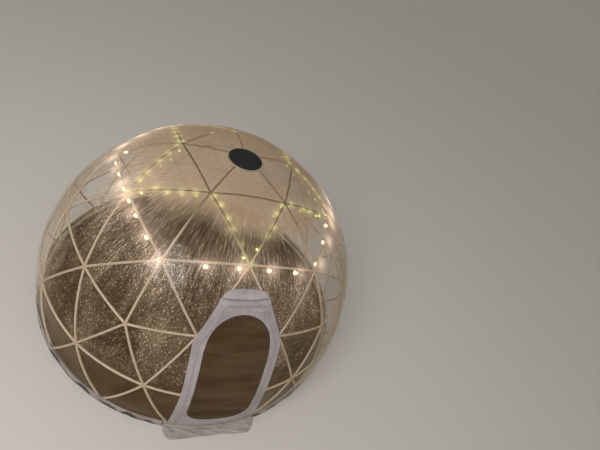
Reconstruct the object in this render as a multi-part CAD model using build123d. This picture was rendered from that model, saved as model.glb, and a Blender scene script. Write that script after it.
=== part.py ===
"""A clear garden igloo: a geodesic dome of white tubes and hubs under a clear film cover.

The frame is the three-frequency icosahedral dome, cut at five eighths of the sphere, with its
door bay at the front (-Y). Its tubes are bent to the sphere, so the cover lies on them as one
round skin, modelled panel by panel between the tubes. The soft door is a closed zipped panel in
an arched surround.
"""
from build123d import *
from dataclasses import dataclass, field
from itertools import combinations
from math import atan, atan2, cos, degrees, radians, sin, sqrt, tan
import os

# Frame
DOME_RADIUS = 1800.0          # hub centre to dome centre
BASE_LATITUDE = -9.88         # degrees, of the lowest ring of hubs
TUBE_DIAMETER = 22.0
TUBE_WALL = 2.0
HUB_BALL_DIAMETER = 48.0
PEG_LENGTH = 40.0
PEG_CLEARANCE = 0.2           # between a peg and the bore of its tube, on the radius
SEAT = 0.3                    # running clearance wherever one piece rests on another

# Door bay
DOOR_BASE_HALF = 410.0        # half distance between the feet of the posts
DOOR_MID_HALF = 392.0         # and between their middle joints
DOOR_HEAD_HALF = 375.0        # and between their heads
SHEET = 1.0                   # white sheet of the surround and the door
FOOT_LAP = 15.0               # the surround past the feet of the posts
SIDE_LAP = 10.0               # and past the middle joints
SHOULDER_DROP = 22.0          # the surround starts to lean in below the heads of the posts
SPRING_RISE = 281.0           # its round top starts above the heads
TOP_RISE = 379.0              # and ends
CROWN_HALF = 235.0            # half width where the round top starts
BAND = 96.0                   # white band round the window, surround and door together
HOOD_DEPTH = 169.0            # the same band at the top of the arch
ZIP_GAP = 5.0                 # between the door and its surround
ZIP_WIDTH = 16.0
ZIP_THICKNESS = 1.6
WINDOW_FOOT = 228.0
WINDOW_CORNER = 175.0
WINDOW_SHOULDER_DROP = 72.0   # below the heads of the posts
WINDOW_SPRING_RISE = 127.0    # above them
WINDOW_CROWN_HALF = 205.0
WINDOW_LAP = 12.0             # the clear sheet behind the edge of its opening
FLAP_REACH = 162.0            # the sill flap out over the ground, from the feet of the posts
FLAP_SIDE = 45.0              # and past the foot of the surround on each side
FLAP_CORNER = 65.0            # its outer corners are cut off this far out
PULL_LENGTH = 46.0
PULL_WIDTH = 14.0
PULL_THICKNESS = 3.0
PULL_HEIGHT = 120.0           # the zip's slider above the ground

# Cover
FILM = 0.5
FILM_GAP = 0.3                # between neighbouring panels of the cover
HEM_RISE = 45.0               # the hem leaves the film at this height
HEM_REACH = 20.0              # and flares out to the ground
HEM_SHEET = 1.0
VENT_RADIUS = 180.0
VENT_SHIFT = -30.0            # the vent's centre from the crown, towards the door
VENT_RIM_WIDTH = 14.0
VENT_RIM_THICKNESS = 1.5

# Floor
MAT = 3.0

# Lights
WIRE_DIAMETER = 3.0
FAIRY_DIAMETER = 2.0
WIRE_BEND = 6.0               # radius of a wire's bend, in diameters
WIRE_TIES = 5                 # runs of a wire between its ties to one tube
LAMP_DIAMETER = 44.0
SOCKET_DIAMETER = 14.0
SOCKET_LENGTH = 26.0
SOCKET_HOLD = 0.42            # the globe's centre below the socket, in globe diameters
EVEN_LAMPS = (0.17, 0.50, 0.83)                        # shares of a run between two hubs
FRONT_LAMPS = ((0.05, 0.30, 0.63, 0.95), (0.50, 0.90), (0.29, 0.70), (0.17, 0.58, 0.94))

# Worked out from the sizes above
TUBE_RADIUS = TUBE_DIAMETER / 2
BORE_RADIUS = TUBE_RADIUS - TUBE_WALL
PEG_RADIUS = BORE_RADIUS - PEG_CLEARANCE
BALL_RADIUS = HUB_BALL_DIAMETER / 2
CENTRE = Vector(0, 0, TUBE_RADIUS + DOME_RADIUS * sin(radians(-BASE_LATITUDE)))
UP = Vector(0, 0, 1)
FILM_INSIDE = TUBE_RADIUS + SEAT
FILM_OUTSIDE = FILM_INSIDE + FILM
DOOR_INSIDE = FILM_OUTSIDE + SEAT
DOOR_OUTSIDE = DOOR_INSIDE + SHEET
SURROUND_HALF = DOOR_MID_HALF + SIDE_LAP
SURROUND_FOOT_HALF = DOOR_BASE_HALF + FOOT_LAP
FLAP_HALF = SURROUND_FOOT_HALF + FLAP_SIDE
SOLE = HEM_SHEET + SEAT       # the door stands this high, on the sill flap
FAR = 3 * DOME_RADIUS
BASE = 5                      # the ring of hubs that stands on the ground

HUB_NODES = {0: "crown_hub", 1: "hubs_ring_1", 2: "hubs_ring_2", 3: "hubs_ring_3",
             4: "hubs_ring_4", 5: "hubs_base", 6: "post_joints"}
STRUT_NODES = {(0, 1): "struts_crown", (1, 1): "struts_ring_1", (1, 2): "struts_1_to_2",
               (2, 2): "struts_ring_2", (2, 3): "struts_2_to_3", (3, 3): "struts_ring_3",
               (3, 4): "struts_3_to_4", (4, 4): "struts_ring_4", (4, 5): "struts_4_to_base",
               (5, 5): "struts_base"}
COVER_NODES = {0: "cover_crown", 1: "cover_upper", 2: "cover_middle", 3: "cover_lower",
               4: "cover_skirt"}


def on_sphere(azimuth, latitude):
    """Unit vector, with azimuth in degrees from the door (-Y) towards +X."""
    a, b = radians(azimuth), radians(latitude)
    return Vector(sin(a) * cos(b), -cos(a) * cos(b), sin(b))


def azimuth_of(p):
    """Azimuth of a direction in degrees, from the door, -180 to 180."""
    return round(degrees(atan2(p.X, -p.Y)), 3) if abs(p.X) + abs(p.Y) > 1e-9 else 0.0


def dome_rings():
    """The hub directions of the six rings, crown first, each sorted by azimuth."""
    latitude = degrees(atan(0.5))
    upper = [on_sphere(36 + 72 * k, latitude) for k in range(5)]
    lower = [on_sphere(72 * k, -latitude) for k in range(5)]
    rings = [[UP], [], [], [], [], []]
    for k, (u, v) in enumerate(zip(upper, upper[1:] + upper[:1])):
        before, below, beside = upper[k - 1], lower[k], lower[(k + 1) % 5]
        rings[1].append(UP * 2 + u)
        rings[2] += [UP + u * 2, UP + u + v]
        rings[3] += [u * 3, u * 2 + v, u + v * 2]
        rings[4] += [before * 2 + below, before + u + below, u * 2 + below]
        rings[5] += [before + below * 2, u + below * 2, u + below + beside]
    rings = [[p.normalized() for p in ring] for ring in rings]
    rings[5] = [on_sphere(azimuth_of(p), BASE_LATITUDE) for p in rings[5]]
    return [sorted(ring, key=azimuth_of) for ring in rings]


def at_half_width(height, half):
    """The point on the front of the dome sphere at a height over its centre and an x."""
    return Vector(half, -sqrt(DOME_RADIUS ** 2 - half ** 2 - height ** 2), height)


@dataclass
class Frame:
    """Hubs and struts of the dome with its door bay.

    A hub's name is its ring and its place in the ring, and its position is from the dome's
    centre. Ring 6 holds the joints in the middle of the door posts.
    """

    hubs: dict = field(default_factory=dict)
    struts: set = field(default_factory=set)
    facets: list = field(default_factory=list)
    meets: dict = field(default_factory=dict)

    def __post_init__(self):
        for ring, directions in enumerate(dome_rings()):
            self.hubs |= {(ring, k): p * DOME_RADIUS for k, p in enumerate(directions)}
        names = list(self.hubs)
        self.struts = {(a, b) for i, a in enumerate(names) for b in names[i + 1:]
                       if (self.hubs[a] - self.hubs[b]).length < 0.45 * DOME_RADIUS}
        self.facets = sorted({tuple(sorted((a, b, c))) for a, b in self.struts for c in names
                              if self.joined(a, c) and self.joined(b, c)})
        self.open_door_bay()
        self.meets = {n: [] for n in self.hubs}
        for a, b in sorted(self.struts | self.posts | self.spurs):
            self.meets[a].append(b)
            self.meets[b].append(a)

    def joined(self, a, b):
        """Whether a strut joins two hubs."""
        return tuple(sorted((a, b))) in self.struts

    def near(self, ring, azimuth):
        """Name of the hub of a ring that lies nearest to an azimuth."""
        def away(name):
            turn = abs(azimuth_of(self.hubs[name]) - azimuth) % 360
            return min(turn, 360 - turn)
        return min((n for n in self.hubs if n[0] == ring), key=away)

    def open_door_bay(self):
        """Take out the hub and struts that would stand in the doorway, and set the posts."""
        gone = self.near(4, 0)
        self.heads, self.feet, self.sides = ([self.near(ring, side * away) for side in (-1, 1)]
                                             for ring, away in ((3, 13.6), (5, 11.8), (4, 24.2)))
        self.top = self.near(2, 0)
        self.struts = {s for s in self.struts if gone not in s and s != tuple(sorted(self.heads))}
        self.facets = [f for f in self.facets if gone not in f]
        del self.hubs[gone]
        foot, head = self.hubs[self.feet[0]].Z, self.hubs[self.heads[0]].Z
        self.joints = [(6, 0), (6, 1)]
        for k, side in enumerate((-1, 1)):
            self.hubs[self.feet[k]] = at_half_width(foot, side * DOOR_BASE_HALF)
            self.hubs[self.heads[k]] = at_half_width(head, side * DOOR_HEAD_HALF)
            self.hubs[self.joints[k]] = at_half_width((foot + head) / 2, side * DOOR_MID_HALF)
        self.posts = {(self.joints[k], n[k]) for k in (0, 1) for n in (self.feet, self.heads)}
        self.spurs = {(self.sides[k], self.joints[k]) for k in (0, 1)}
        self.side_facets = [(self.joints[k], self.sides[k], n[k])
                            for k in (0, 1) for n in (self.feet, self.heads)]

    def base_hubs(self):
        """Names of the hubs on the ground, by azimuth."""
        return sorted((n for n in self.hubs if n[0] == BASE), key=lambda n: azimuth_of(self.hubs[n]))

    def place(self, name):
        """A hub's centre over the ground."""
        return self.hubs[name] + CENTRE

    def bend(self, a, b):
        """Centre of the arc that the tube between two hubs follows: a base tube lies flat."""
        return Vector(0, 0, self.place(a).Z) if a[0] == b[0] == BASE else CENTRE

    def way(self, name, end):
        """The direction in which a tube leaves a hub towards another."""
        arm = self.place(name) - self.bend(name, end)
        return arm.cross(self.place(end) - self.bend(name, end)).cross(arm).normalized()

    def tube_start(self, name, end):
        """How far from a hub the tube towards another starts, so that close tubes don't meet."""
        way = self.way(name, end)
        closest = min(way.get_angle(self.way(name, n)) for n in self.meets[name] if n != end)
        return max(BALL_RADIUS + SEAT, (TUBE_RADIUS + SEAT) / tan(radians(closest / 2)))

    def bent_bar(self, a, b, start, end, outer, bore=0.0):
        """A tube along the arc from one hub to another, or a solid bar with no bore.

        Args:
            a, b: names of the hubs.
            start, end: the stretch of the arc that it takes, from the first hub.
            outer, bore: radii.
        """
        arm = self.place(a) - self.bend(a, b)
        turn = Axis(self.bend(a, b), arm.cross(self.place(b) - self.bend(a, b)))
        section = Circle(outer) - Circle(bore) if bore else Circle(outer)
        section = Plane(origin=self.place(a), z_dir=self.way(a, b)) * section
        bar = revolve(section, axis=turn, revolution_arc=degrees((end - start) / arm.length))
        return bar.rotate(turn, degrees(start / arm.length))

    def run(self, a, b):
        """Length of the arc between two hubs."""
        arm = self.place(a) - self.bend(a, b)
        return radians(arm.get_angle(self.place(b) - self.bend(a, b))) * arm.length


def make_strut(frame, a, b):
    """The tube between two hubs, each end a seat's clearance off its hub."""
    return frame.bent_bar(a, b, frame.tube_start(a, b), frame.run(a, b) - frame.tube_start(b, a),
                          TUBE_RADIUS, BORE_RADIUS)


def make_hub(frame, name):
    """A moulded hub: a ball flattened to the tubes, with one peg for each tube that meets there."""
    place = frame.place(name)
    wide = 2 * HUB_BALL_DIAMETER
    ball = Sphere(BALL_RADIUS) & Box(wide, wide, TUBE_DIAMETER)
    hub = Plane(origin=place, z_dir=(place - CENTRE).normalized()) * ball
    if place.Z < BALL_RADIUS:
        hub &= Pos(place.X, place.Y, wide / 2) * Box(wide, wide, wide)
    for other in frame.meets[name]:
        start = frame.tube_start(name, other)
        if start > BALL_RADIUS + SEAT:
            hub += frame.bent_bar(name, other, 0, start - SEAT, TUBE_RADIUS)
        hub += frame.bent_bar(name, other, 0, start + PEG_LENGTH, PEG_RADIUS)
    return hub


def make_frame(frame):
    """Hubs, struts and door posts, by node: a hub on the left is the mirror of its twin."""
    parts = {node: [] for node in (*HUB_NODES.values(), *STRUT_NODES.values())}
    for name in sorted(frame.hubs):
        twin = frame.near(name[0], -azimuth_of(frame.hubs[name]))
        if name <= twin:
            hub = make_hub(frame, twin)
            parts[HUB_NODES[name[0]]] += [hub] if name == twin else [hub, mirror(hub, about=Plane.YZ)]
    for a, b in sorted(frame.struts):
        parts[STRUT_NODES[a[0], b[0]]].append(make_strut(frame, a, b))
    for joint, side in zip(frame.joints, ("left", "right")):
        parts[f"door_post_{side}"] = [make_strut(frame, a, b) for a, b in sorted(frame.posts) if a == joint]
    parts["door_side_spurs"] = [make_strut(frame, a, b) for a, b in sorted(frame.spurs)]
    return parts


def skin(inside, thickness, facing):
    """A whole round skin over the dome, with its own seam behind the side that is used.

    Args:
        inside: its inner face, outward from the centre line of the tubes.
        thickness: of the skin.
        facing: unit vector from the dome's centre to the middle of the side that is used.
    """
    radius = DOME_RADIUS + inside
    place = Plane(origin=CENTRE, x_dir=facing * -1, z_dir=facing.cross(Vector(1, 0, 0)).normalized())
    return place * (Sphere(radius + thickness) - Sphere(radius))


def panel(frame, facet, inside, thickness):
    """The part of a skin between three tubes, held half a gap off the middle of each.

    Args:
        facet: its three hubs.
        inside, thickness: of the skin.
    """
    a, b, c = (frame.hubs[n] for n in facet)
    middle = a * b.cross(c).length + b * c.cross(a).length + c * a.cross(b).length
    tip = CENTRE + middle * (FILM_GAP / 2 / abs(a.dot(b.cross(c))))
    corners = [tip, *(tip + p * 1.2 for p in (a, b, c))]
    sides = [Face(Wire.make_polygon(side, close=True)) for side in combinations(corners, 3)]
    return skin(inside, thickness, middle.normalized()) & Solid(Shell(sides))


def upright_cylinder(radius):
    """A tall upright cylinder on the vent's axis."""
    return Pos(0, VENT_SHIFT, DOME_RADIUS) * Cylinder(radius, FAR)


def make_cover(frame):
    """The film panels by ring, the panels round the door, and the vent with its rim."""
    parts = {node: [] for node in COVER_NODES.values()}
    over_door = tuple(sorted(frame.heads + [frame.top]))
    for facet in frame.facets:
        if facet != over_door:
            film = panel(frame, facet, FILM_INSIDE, FILM)
            film = film - upright_cylinder(VENT_RADIUS) if facet[0][0] == 0 else film
            parts[COVER_NODES[facet[0][0]]].append(film)
    parts["door_side_panels"] = [panel(frame, f, FILM_INSIDE, FILM) for f in frame.side_facets]
    hood = arch(foot=-SEAT, **band_outline(frame.place(frame.heads[0]).Z, ZIP_GAP))
    parts["door_head_panel"] = [panel(frame, over_door, FILM_INSIDE, FILM) - hood]
    half = VENT_RIM_WIDTH / 2
    rim = upright_cylinder(VENT_RADIUS + half) - upright_cylinder(VENT_RADIUS - half)
    parts["vent_mesh"] = [skin(FILM_INSIDE, FILM, UP) & upright_cylinder(VENT_RADIUS - SEAT)]
    parts["vent_rim"] = [skin(FILM_OUTSIDE + SEAT, VENT_RIM_THICKNESS, UP) & rim]
    return parts


def door_lengths(frame, inside, thickness, outline, opening=None):
    """A sheet of the door, cut across at the joints and the heads of the posts.

    Args:
        inside, thickness: of the sheet.
        outline, opening: prisms seen from the front.
    """
    sheet = skin(inside, thickness, Vector(0, -1, 0)) & outline
    sheet = sheet - opening if opening else sheet
    levels = [0, frame.place(frame.joints[0]).Z, frame.place(frame.heads[0]).Z, FAR]
    lengths = []
    for low, high in zip(levels, levels[1:]):
        deep = high - low - FILM_GAP
        lengths.append(sheet & Pos(0, -FAR / 2, (low + high) / 2) * Box(FAR, FAR, deep))
    return lengths


def arch(half, foot, shoulder, crown_half, spring, top, foot_half=None, waist=None, round_foot=0.0):
    """A tall arched prism seen from the front, through the whole door bay.

    Args:
        half, foot: half width and lowest height.
        shoulder, crown_half, spring, top: where the sides lean in, and the arc over the top.
        foot_half, waist: a wider foot that narrows to half at the waist.
        round_foot: radius of the lower corners.
    """
    start = [(-foot_half, foot), (-half, waist)] if foot_half else [(-half, foot)]
    left = start + [(-half, shoulder), (-crown_half, spring)]
    right = [(-x, z) for x, z in left[::-1]]
    with BuildSketch(Plane.XZ) as sketch:
        with BuildLine():
            Polyline(*left)
            ThreePointArc(left[-1], (0, top), right[0])
            Polyline(*right)
            Line(right[-1], left[0])
        make_face()
        fillet([v for v in sketch.vertices() if abs(v.Z - shoulder) < 1], radius=top - spring)
        if round_foot:
            fillet([v for v in sketch.vertices() if abs(v.Z - foot) < 1], radius=round_foot)
    return extrude(sketch.sketch, amount=FAR / 2)


def band_outline(head, inset):
    """The surround's own outline, drawn in by an inset, for the seam, the zip and the door.

    Args:
        head: height of the heads of the posts.
        inset: from the outer edge, at the sides.
    """
    hood = inset * HOOD_DEPTH / BAND
    return dict(half=SURROUND_HALF - inset, crown_half=CROWN_HALF - inset * 0.4,
                shoulder=head - SHOULDER_DROP - hood * 0.25, spring=head + SPRING_RISE - hood,
                top=head + TOP_RISE - hood)


def window_outline(head, lap):
    """The window's opening, or with a lap the clear sheet behind its edge."""
    return dict(half=SURROUND_HALF - BAND + lap, crown_half=WINDOW_CROWN_HALF + lap / 2,
                foot=WINDOW_FOOT - lap, shoulder=head - WINDOW_SHOULDER_DROP + lap / 2,
                spring=head + WINDOW_SPRING_RISE + lap, top=head + TOP_RISE - HOOD_DEPTH + lap,
                round_foot=WINDOW_CORNER)


def make_zip_pull():
    """The slider's tag, hanging on the right of the door."""
    blade = Box(PULL_WIDTH, PULL_LENGTH, PULL_THICKNESS)
    blade = fillet(blade.edges().filter_by(Axis.Z), radius=PULL_WIDTH / 2 - SEAT)
    eye = Pos(0, (PULL_WIDTH - PULL_LENGTH) / 2, 0) * Cylinder(PULL_WIDTH / 4, FAR)
    half, height = SURROUND_HALF - BAND / 2, PULL_HEIGHT - CENTRE.Z
    outward = at_half_width(height, half).normalized()
    place = CENTRE + outward * (DOME_RADIUS + DOOR_OUTSIDE + ZIP_THICKNESS + 2 * SEAT + PULL_THICKNESS / 2)
    return Plane(origin=place, x_dir=UP.cross(outward), z_dir=outward) * (blade - eye)


def make_flap(frame):
    """The sill flap, flat on the ground out from under the door."""
    foot = frame.place(frame.feet[0]).Y
    corners = [(FLAP_HALF, foot + FLAP_REACH), (FLAP_HALF, foot - FLAP_CORNER),
               (SURROUND_FOOT_HALF, foot - FLAP_REACH)]
    corners += [(-x, y) for x, y in corners[::-1]]
    flap = Face(Wire.make_polygon([Vector(x, y, 0) for x, y in corners], close=True))
    return extrude(flap, amount=HEM_SHEET, dir=UP) - Cylinder(on_ground(DOOR_INSIDE), FAR)


def make_door(frame):
    """Surround, door, window, zip and sill flap over the door bay."""
    joint, head = frame.place(frame.joints[0]).Z, frame.place(frame.heads[0]).Z
    outer = arch(foot=SOLE, foot_half=SURROUND_FOOT_HALF, waist=joint, **band_outline(head, 0))
    seam_out = arch(foot=-SEAT, **band_outline(head, (BAND - ZIP_GAP) / 2))
    seam_in = arch(foot=SOLE, **band_outline(head, (BAND + ZIP_GAP) / 2))
    zip_out = arch(foot=SOLE, **band_outline(head, (BAND - ZIP_WIDTH) / 2))
    zip_in = arch(foot=-SEAT, **band_outline(head, (BAND + ZIP_WIDTH) / 2))
    window, pane = (arch(**window_outline(head, lap)) for lap in (0, WINDOW_LAP))
    return {
        "door_surround": door_lengths(frame, DOOR_INSIDE, SHEET, outer, seam_out),
        "door_panel": door_lengths(frame, DOOR_INSIDE, SHEET, seam_in, window),
        "door_window": door_lengths(frame, FILM_INSIDE, FILM, pane),
        "door_zip": door_lengths(frame, DOOR_OUTSIDE + SEAT, ZIP_THICKNESS, zip_out, zip_in),
        "zip_pull": [make_zip_pull()],
        "sill_flap": [make_flap(frame)]}


def on_ground(outward, height=0.0):
    """Radius at a height over the ground of the sphere that lies outward from the tubes' line."""
    return sqrt((DOME_RADIUS + outward) ** 2 - (CENTRE.Z - height) ** 2)


def make_hem(frame):
    """The hem round the foot of the film, flared to the ground, in lengths between the hubs."""
    inner = on_ground(FILM_OUTSIDE, HEM_RISE + HEM_SHEET) + SEAT
    outer = inner + HEM_REACH
    section = [(inner, HEM_RISE), (inner, HEM_RISE + HEM_SHEET), (outer, HEM_SHEET), (outer, 0)]
    section = Face(Wire.make_polygon([Vector(x, 0, z) for x, z in section], close=True))
    ring = revolve(section, axis=Axis.Z)
    doorway = Pos(0, -FAR / 2, 0) * Box(2 * (FLAP_HALF + SEAT), FAR, FAR)
    gap = degrees(FILM_GAP / 2 / inner)
    base = frame.base_hubs()
    lengths = []
    for a, b in zip(base, base[1:] + base[:1]):
        if {a, b} != set(frame.feet):
            ends = [on_sphere(azimuth_of(frame.hubs[n]) + turn, 0) * FAR for n, turn in ((a, gap), (b, -gap))]
            sector = Face(Wire.make_polygon([Vector(), *ends], close=True))
            length = ring & extrude(sector, amount=2 * HEM_RISE, dir=UP)
            lengths.append(length - doorway if {a, b} & set(frame.feet) else length)
    return lengths


def make_foot(frame):
    """The hem round the foot of the cover, and the round floor mat inside the hubs."""
    mat = Pos(0, 0, MAT / 2) * Cylinder(on_ground(-TUBE_RADIUS - SEAT), MAT)
    return {"base_hem": make_hem(frame), "floor_mat": [mat]}


def wire_points(frame, path, diameter, under=0.0):
    """The corners of a wire tied along the inside of the tubes.

    Args:
        path: the hubs that it passes, in order.
        diameter: of the wire.
        under: diameter of a wire that lies between this one and the tubes.
    """
    share = 1 - (TUBE_RADIUS + SEAT + diameter / 2 + (under + SEAT if under else 0)) / DOME_RADIUS
    points = [CENTRE + frame.hubs[path[0]] * share]
    for a, b in zip(path, path[1:]):
        angle = radians(frame.hubs[a].get_angle(frame.hubs[b]))
        for k in range(1, WIRE_TIES + 1):
            far = angle * k / WIRE_TIES
            there = (frame.hubs[a] * sin(angle - far) + frame.hubs[b] * sin(far)) * (1 / sin(angle))
            points.append(CENTRE + there * share)
    return points


def make_wire(points, diameter):
    """A wire through its corners, each one rounded."""
    line = FilletPolyline(*points, radius=[diameter * WIRE_BEND] * (len(points) - 2))
    return sweep(Plane(origin=line @ 0, z_dir=line % 0) * Circle(diameter / 2), path=line)


def make_lamp(start, end, share):
    """A globe lamp on its socket, hanging from the wire at a share of the way along a run."""
    along = (end - start).normalized()
    down = (along * along.dot(UP) - UP).normalized()
    top = start + (end - start) * share + down * (WIRE_DIAMETER / 2 + SEAT + SOCKET_DIAMETER / 2)
    socket = Sphere(SOCKET_DIAMETER / 2)
    socket += Pos(0, 0, -SOCKET_LENGTH / 2) * Cylinder(SOCKET_DIAMETER / 2, SOCKET_LENGTH)
    globe = Pos(0, 0, -SOCKET_LENGTH - LAMP_DIAMETER * SOCKET_HOLD) * Sphere(LAMP_DIAMETER / 2)
    return Pos(*top) * (socket + globe)


def make_lights(frame):
    """The globe lamps' wire round ring 2, and the thin wire that zigzags between rings 1 and 2."""
    ring = [frame.near(2, azimuth) for azimuth in range(-180, 180, 36)]
    zigzag = [frame.near(1 + k % 2, azimuth) for k, azimuth in enumerate(range(-180, 180, 36))]
    points = wire_points(frame, ring, WIRE_DIAMETER, under=FAIRY_DIAMETER)
    front = ring.index(frame.near(2, -72))
    lamps = []
    for tube in range(len(ring) - 1):
        shares = FRONT_LAMPS[tube - front] if 0 <= tube - front < len(FRONT_LAMPS) else EVEN_LAMPS
        for share in shares:
            run = int(share * WIRE_TIES)
            first = tube * WIRE_TIES + run
            lamps.append(make_lamp(points[first], points[first + 1], share * WIRE_TIES - run))
    return {"festoon_wire": [make_wire(points, WIRE_DIAMETER)], "festoon_lamps": lamps,
            "fairy_wire": [make_wire(wire_points(frame, zigzag, FAIRY_DIAMETER), FAIRY_DIAMETER)]}


def main():
    """Build every part and write one file for each."""
    frame = Frame()
    os.makedirs("parts", exist_ok=True)
    for make in (make_frame, make_cover, make_door, make_foot, make_lights):
        for name, pieces in make(frame).items():
            solids = [solid for piece in pieces for solid in piece.solids()]
            shape = Compound(children=solids) if len(solids) > 1 else solids[0]
            export_step(shape, f"parts/{name}.step")
            print(name, len(solids))


main()
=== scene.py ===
"""Looks of a clear garden igloo, in metres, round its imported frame.

White tubes bent to a sphere carry one fogged clear film with a round vent at the crown. An
arched zipped door with its own window closes the front, a short hem meets the ground, and two
strings of lights hang inside.
"""
import functools
import logging
import math
from collections.abc import Callable
from dataclasses import dataclass
from enum import Enum

import bmesh
import bpy
import numpy as np
from mathutils import Euler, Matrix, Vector, noise


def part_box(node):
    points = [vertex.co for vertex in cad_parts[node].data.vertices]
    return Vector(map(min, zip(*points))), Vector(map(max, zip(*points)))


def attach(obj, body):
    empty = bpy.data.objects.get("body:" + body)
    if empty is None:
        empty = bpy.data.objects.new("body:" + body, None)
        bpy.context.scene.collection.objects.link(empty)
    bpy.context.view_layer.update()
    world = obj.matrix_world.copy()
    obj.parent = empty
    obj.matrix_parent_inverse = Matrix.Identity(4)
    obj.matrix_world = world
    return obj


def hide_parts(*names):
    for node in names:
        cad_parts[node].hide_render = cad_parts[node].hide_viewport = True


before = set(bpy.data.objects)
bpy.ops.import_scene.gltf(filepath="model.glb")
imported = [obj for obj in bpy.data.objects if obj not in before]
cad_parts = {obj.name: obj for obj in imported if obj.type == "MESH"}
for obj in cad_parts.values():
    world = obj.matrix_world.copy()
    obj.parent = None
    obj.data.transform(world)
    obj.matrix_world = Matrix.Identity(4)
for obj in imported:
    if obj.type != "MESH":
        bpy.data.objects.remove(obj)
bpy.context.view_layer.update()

MM = 0.001
MERGE = 0.02 * MM
PVC_IOR = 1.53
BODY = "root"
LOG = logging.getLogger("igloo")
Socket = bpy.types.NodeSocket
Points = np.ndarray
Adder = Callable[..., Socket]    # add_node, with its tree given
Look = dict[str, Socket | float | str]


def linear(code: str) -> tuple[float, float, float, float]:
    """Turns an sRGB hex colour into linear RGBA.

    Args:
        code: the colour, such as "#c0ffee".

    Returns:
        Red, green, blue and an alpha of 1.
    """
    shares = [int(code[k:k + 2], 16) / 255 for k in (1, 3, 5)]
    return (*(c / 12.92 if c <= 0.04045 else ((c + 0.055) / 1.055) ** 2.4 for c in shares), 1.0)


@dataclass(frozen=True)
class Kind:
    """A type of node: its name, the sockets that values fill in order, its output and its options."""

    name: str
    sockets: tuple[int | str, ...] = ()
    out: int | str = 0
    options: dict[str, str] | None = None


SUM, LESS, TIMES, OVER, LARGER = (Kind("ShaderNodeMath", (0, 1), 0, {"operation": way})
                                  for way in ("ADD", "SUBTRACT", "MULTIPLY", "DIVIDE", "MAXIMUM"))
V_SUM, V_LESS, V_TIMES, V_UNIT = (Kind("ShaderNodeVectorMath", (0, 1), 0, {"operation": way})
                                  for way in ("ADD", "SUBTRACT", "MULTIPLY", "NORMALIZE"))
V_DOT = Kind("ShaderNodeVectorMath", (0, 1), 1, {"operation": "DOT_PRODUCT"})
V_SCALE = Kind("ShaderNodeVectorMath", (0, "Scale"), 0, {"operation": "SCALE"})
SMOOTH = Kind("ShaderNodeMapRange", ("Value", "From Min", "From Max", "To Min", "To Max"), "Result",
              {"interpolation_type": "SMOOTHSTEP"})
MIX = Kind("ShaderNodeMix", (0, 6, 7), 2, {"data_type": "RGBA"})
NOISE = Kind("ShaderNodeTexNoise", ("Vector", "Scale", "Detail", "Roughness", "Distortion"))
CELLS = Kind("ShaderNodeTexVoronoi", ("Vector", "Scale"), "Distance")
WAVES = Kind("ShaderNodeTexWave", ("Vector", "Scale"), "Fac", {"wave_type": "BANDS", "wave_profile": "SIN"})
STRETCH = Kind("ShaderNodeMapping", ("Vector", "Scale"))
BUMP = Kind("ShaderNodeBump", ("Height", "Distance", "Strength", "Normal"), "Normal")
HEIGHT = Kind("ShaderNodeSeparateXYZ", (0,), "Z")
FACING = Kind("ShaderNodeLayerWeight", ("Blend",), "Facing")
VALUE = Kind("ShaderNodeAttribute", (), "Fac")
PRINCIPLED = Kind("ShaderNodeBsdfPrincipled")
SURFACE = Kind("ShaderNodeOutputMaterial", ("Surface",))


class Guide(Enum):
    """What a pattern follows: the object's own place, or the cut of its cloth."""

    PLACE = Kind("ShaderNodeTexCoord", (), "Object")
    CUT = Kind("ShaderNodeTexCoord", (), "UV")


def add_node(tree: bpy.types.NodeTree, kind: Kind, *given: Socket | float | tuple | str,
             inputs: Look | None = None, **options: str | bool) -> Socket | None:
    """Adds a node with its settings and links.

    Args:
        tree: the tree to add it to.
        kind: of the node.
        given: a value, a hex colour or another node's output for each of the kind's sockets.
        inputs: the same by the socket's name.
        options: the node's own, beside the kind's.

    Returns:
        The kind's output, or None where the node has no outputs.
    """
    node = tree.nodes.new(kind.name)
    for name, value in {**(kind.options or {}), **options}.items():
        setattr(node, name, value)
    for key, value in {**dict(zip(kind.sockets, given)), **(inputs or {})}.items():
        if isinstance(value, Socket):
            tree.links.new(value, node.inputs[key])
        else:
            node.inputs[key].default_value = linear(value) if isinstance(value, str) else value
    return node.outputs[kind.out] if len(node.outputs) else None


def woven(add: Adder, vector: Socket, pitch: float) -> Socket:
    """Height of a plain weave, from 0 to 1.

    Args:
        add: adds a node.
        vector: place on the cloth, in metres.
        pitch: from one thread to the next.

    Returns:
        The height, highest on the threads.
    """
    # A wave node's bands lie tau / 20 apart at a scale of 1.
    return add(TIMES, *(add(WAVES, vector, math.tau / 20 / pitch, bands_direction=way) for way in ("X", "Y")))


@dataclass(frozen=True)
class Finish:
    """A finish, from which one material is made."""

    name: str
    colour: str
    roughness: float = 0.5

    def build(self) -> bpy.types.Material:
        """Makes the material.

        Returns:
            The material.
        """
        material = bpy.data.materials.new(self.name)
        material.use_nodes = True
        material.node_tree.nodes.clear()
        add = functools.partial(add_node, material.node_tree)
        look = {"Base Color": self.colour, "Roughness": self.roughness, **self.shade(add)}
        add(SURFACE, add(PRINCIPLED, inputs=look))
        return material

    def shade(self, add: Adder) -> Look:
        """What this kind of finish shows beside its colour and roughness, by the shader's sockets."""
        return {}


@functools.cache
def material_of(finish: Finish) -> bpy.types.Material:
    """The one material of a finish."""
    return finish.build()


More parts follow.
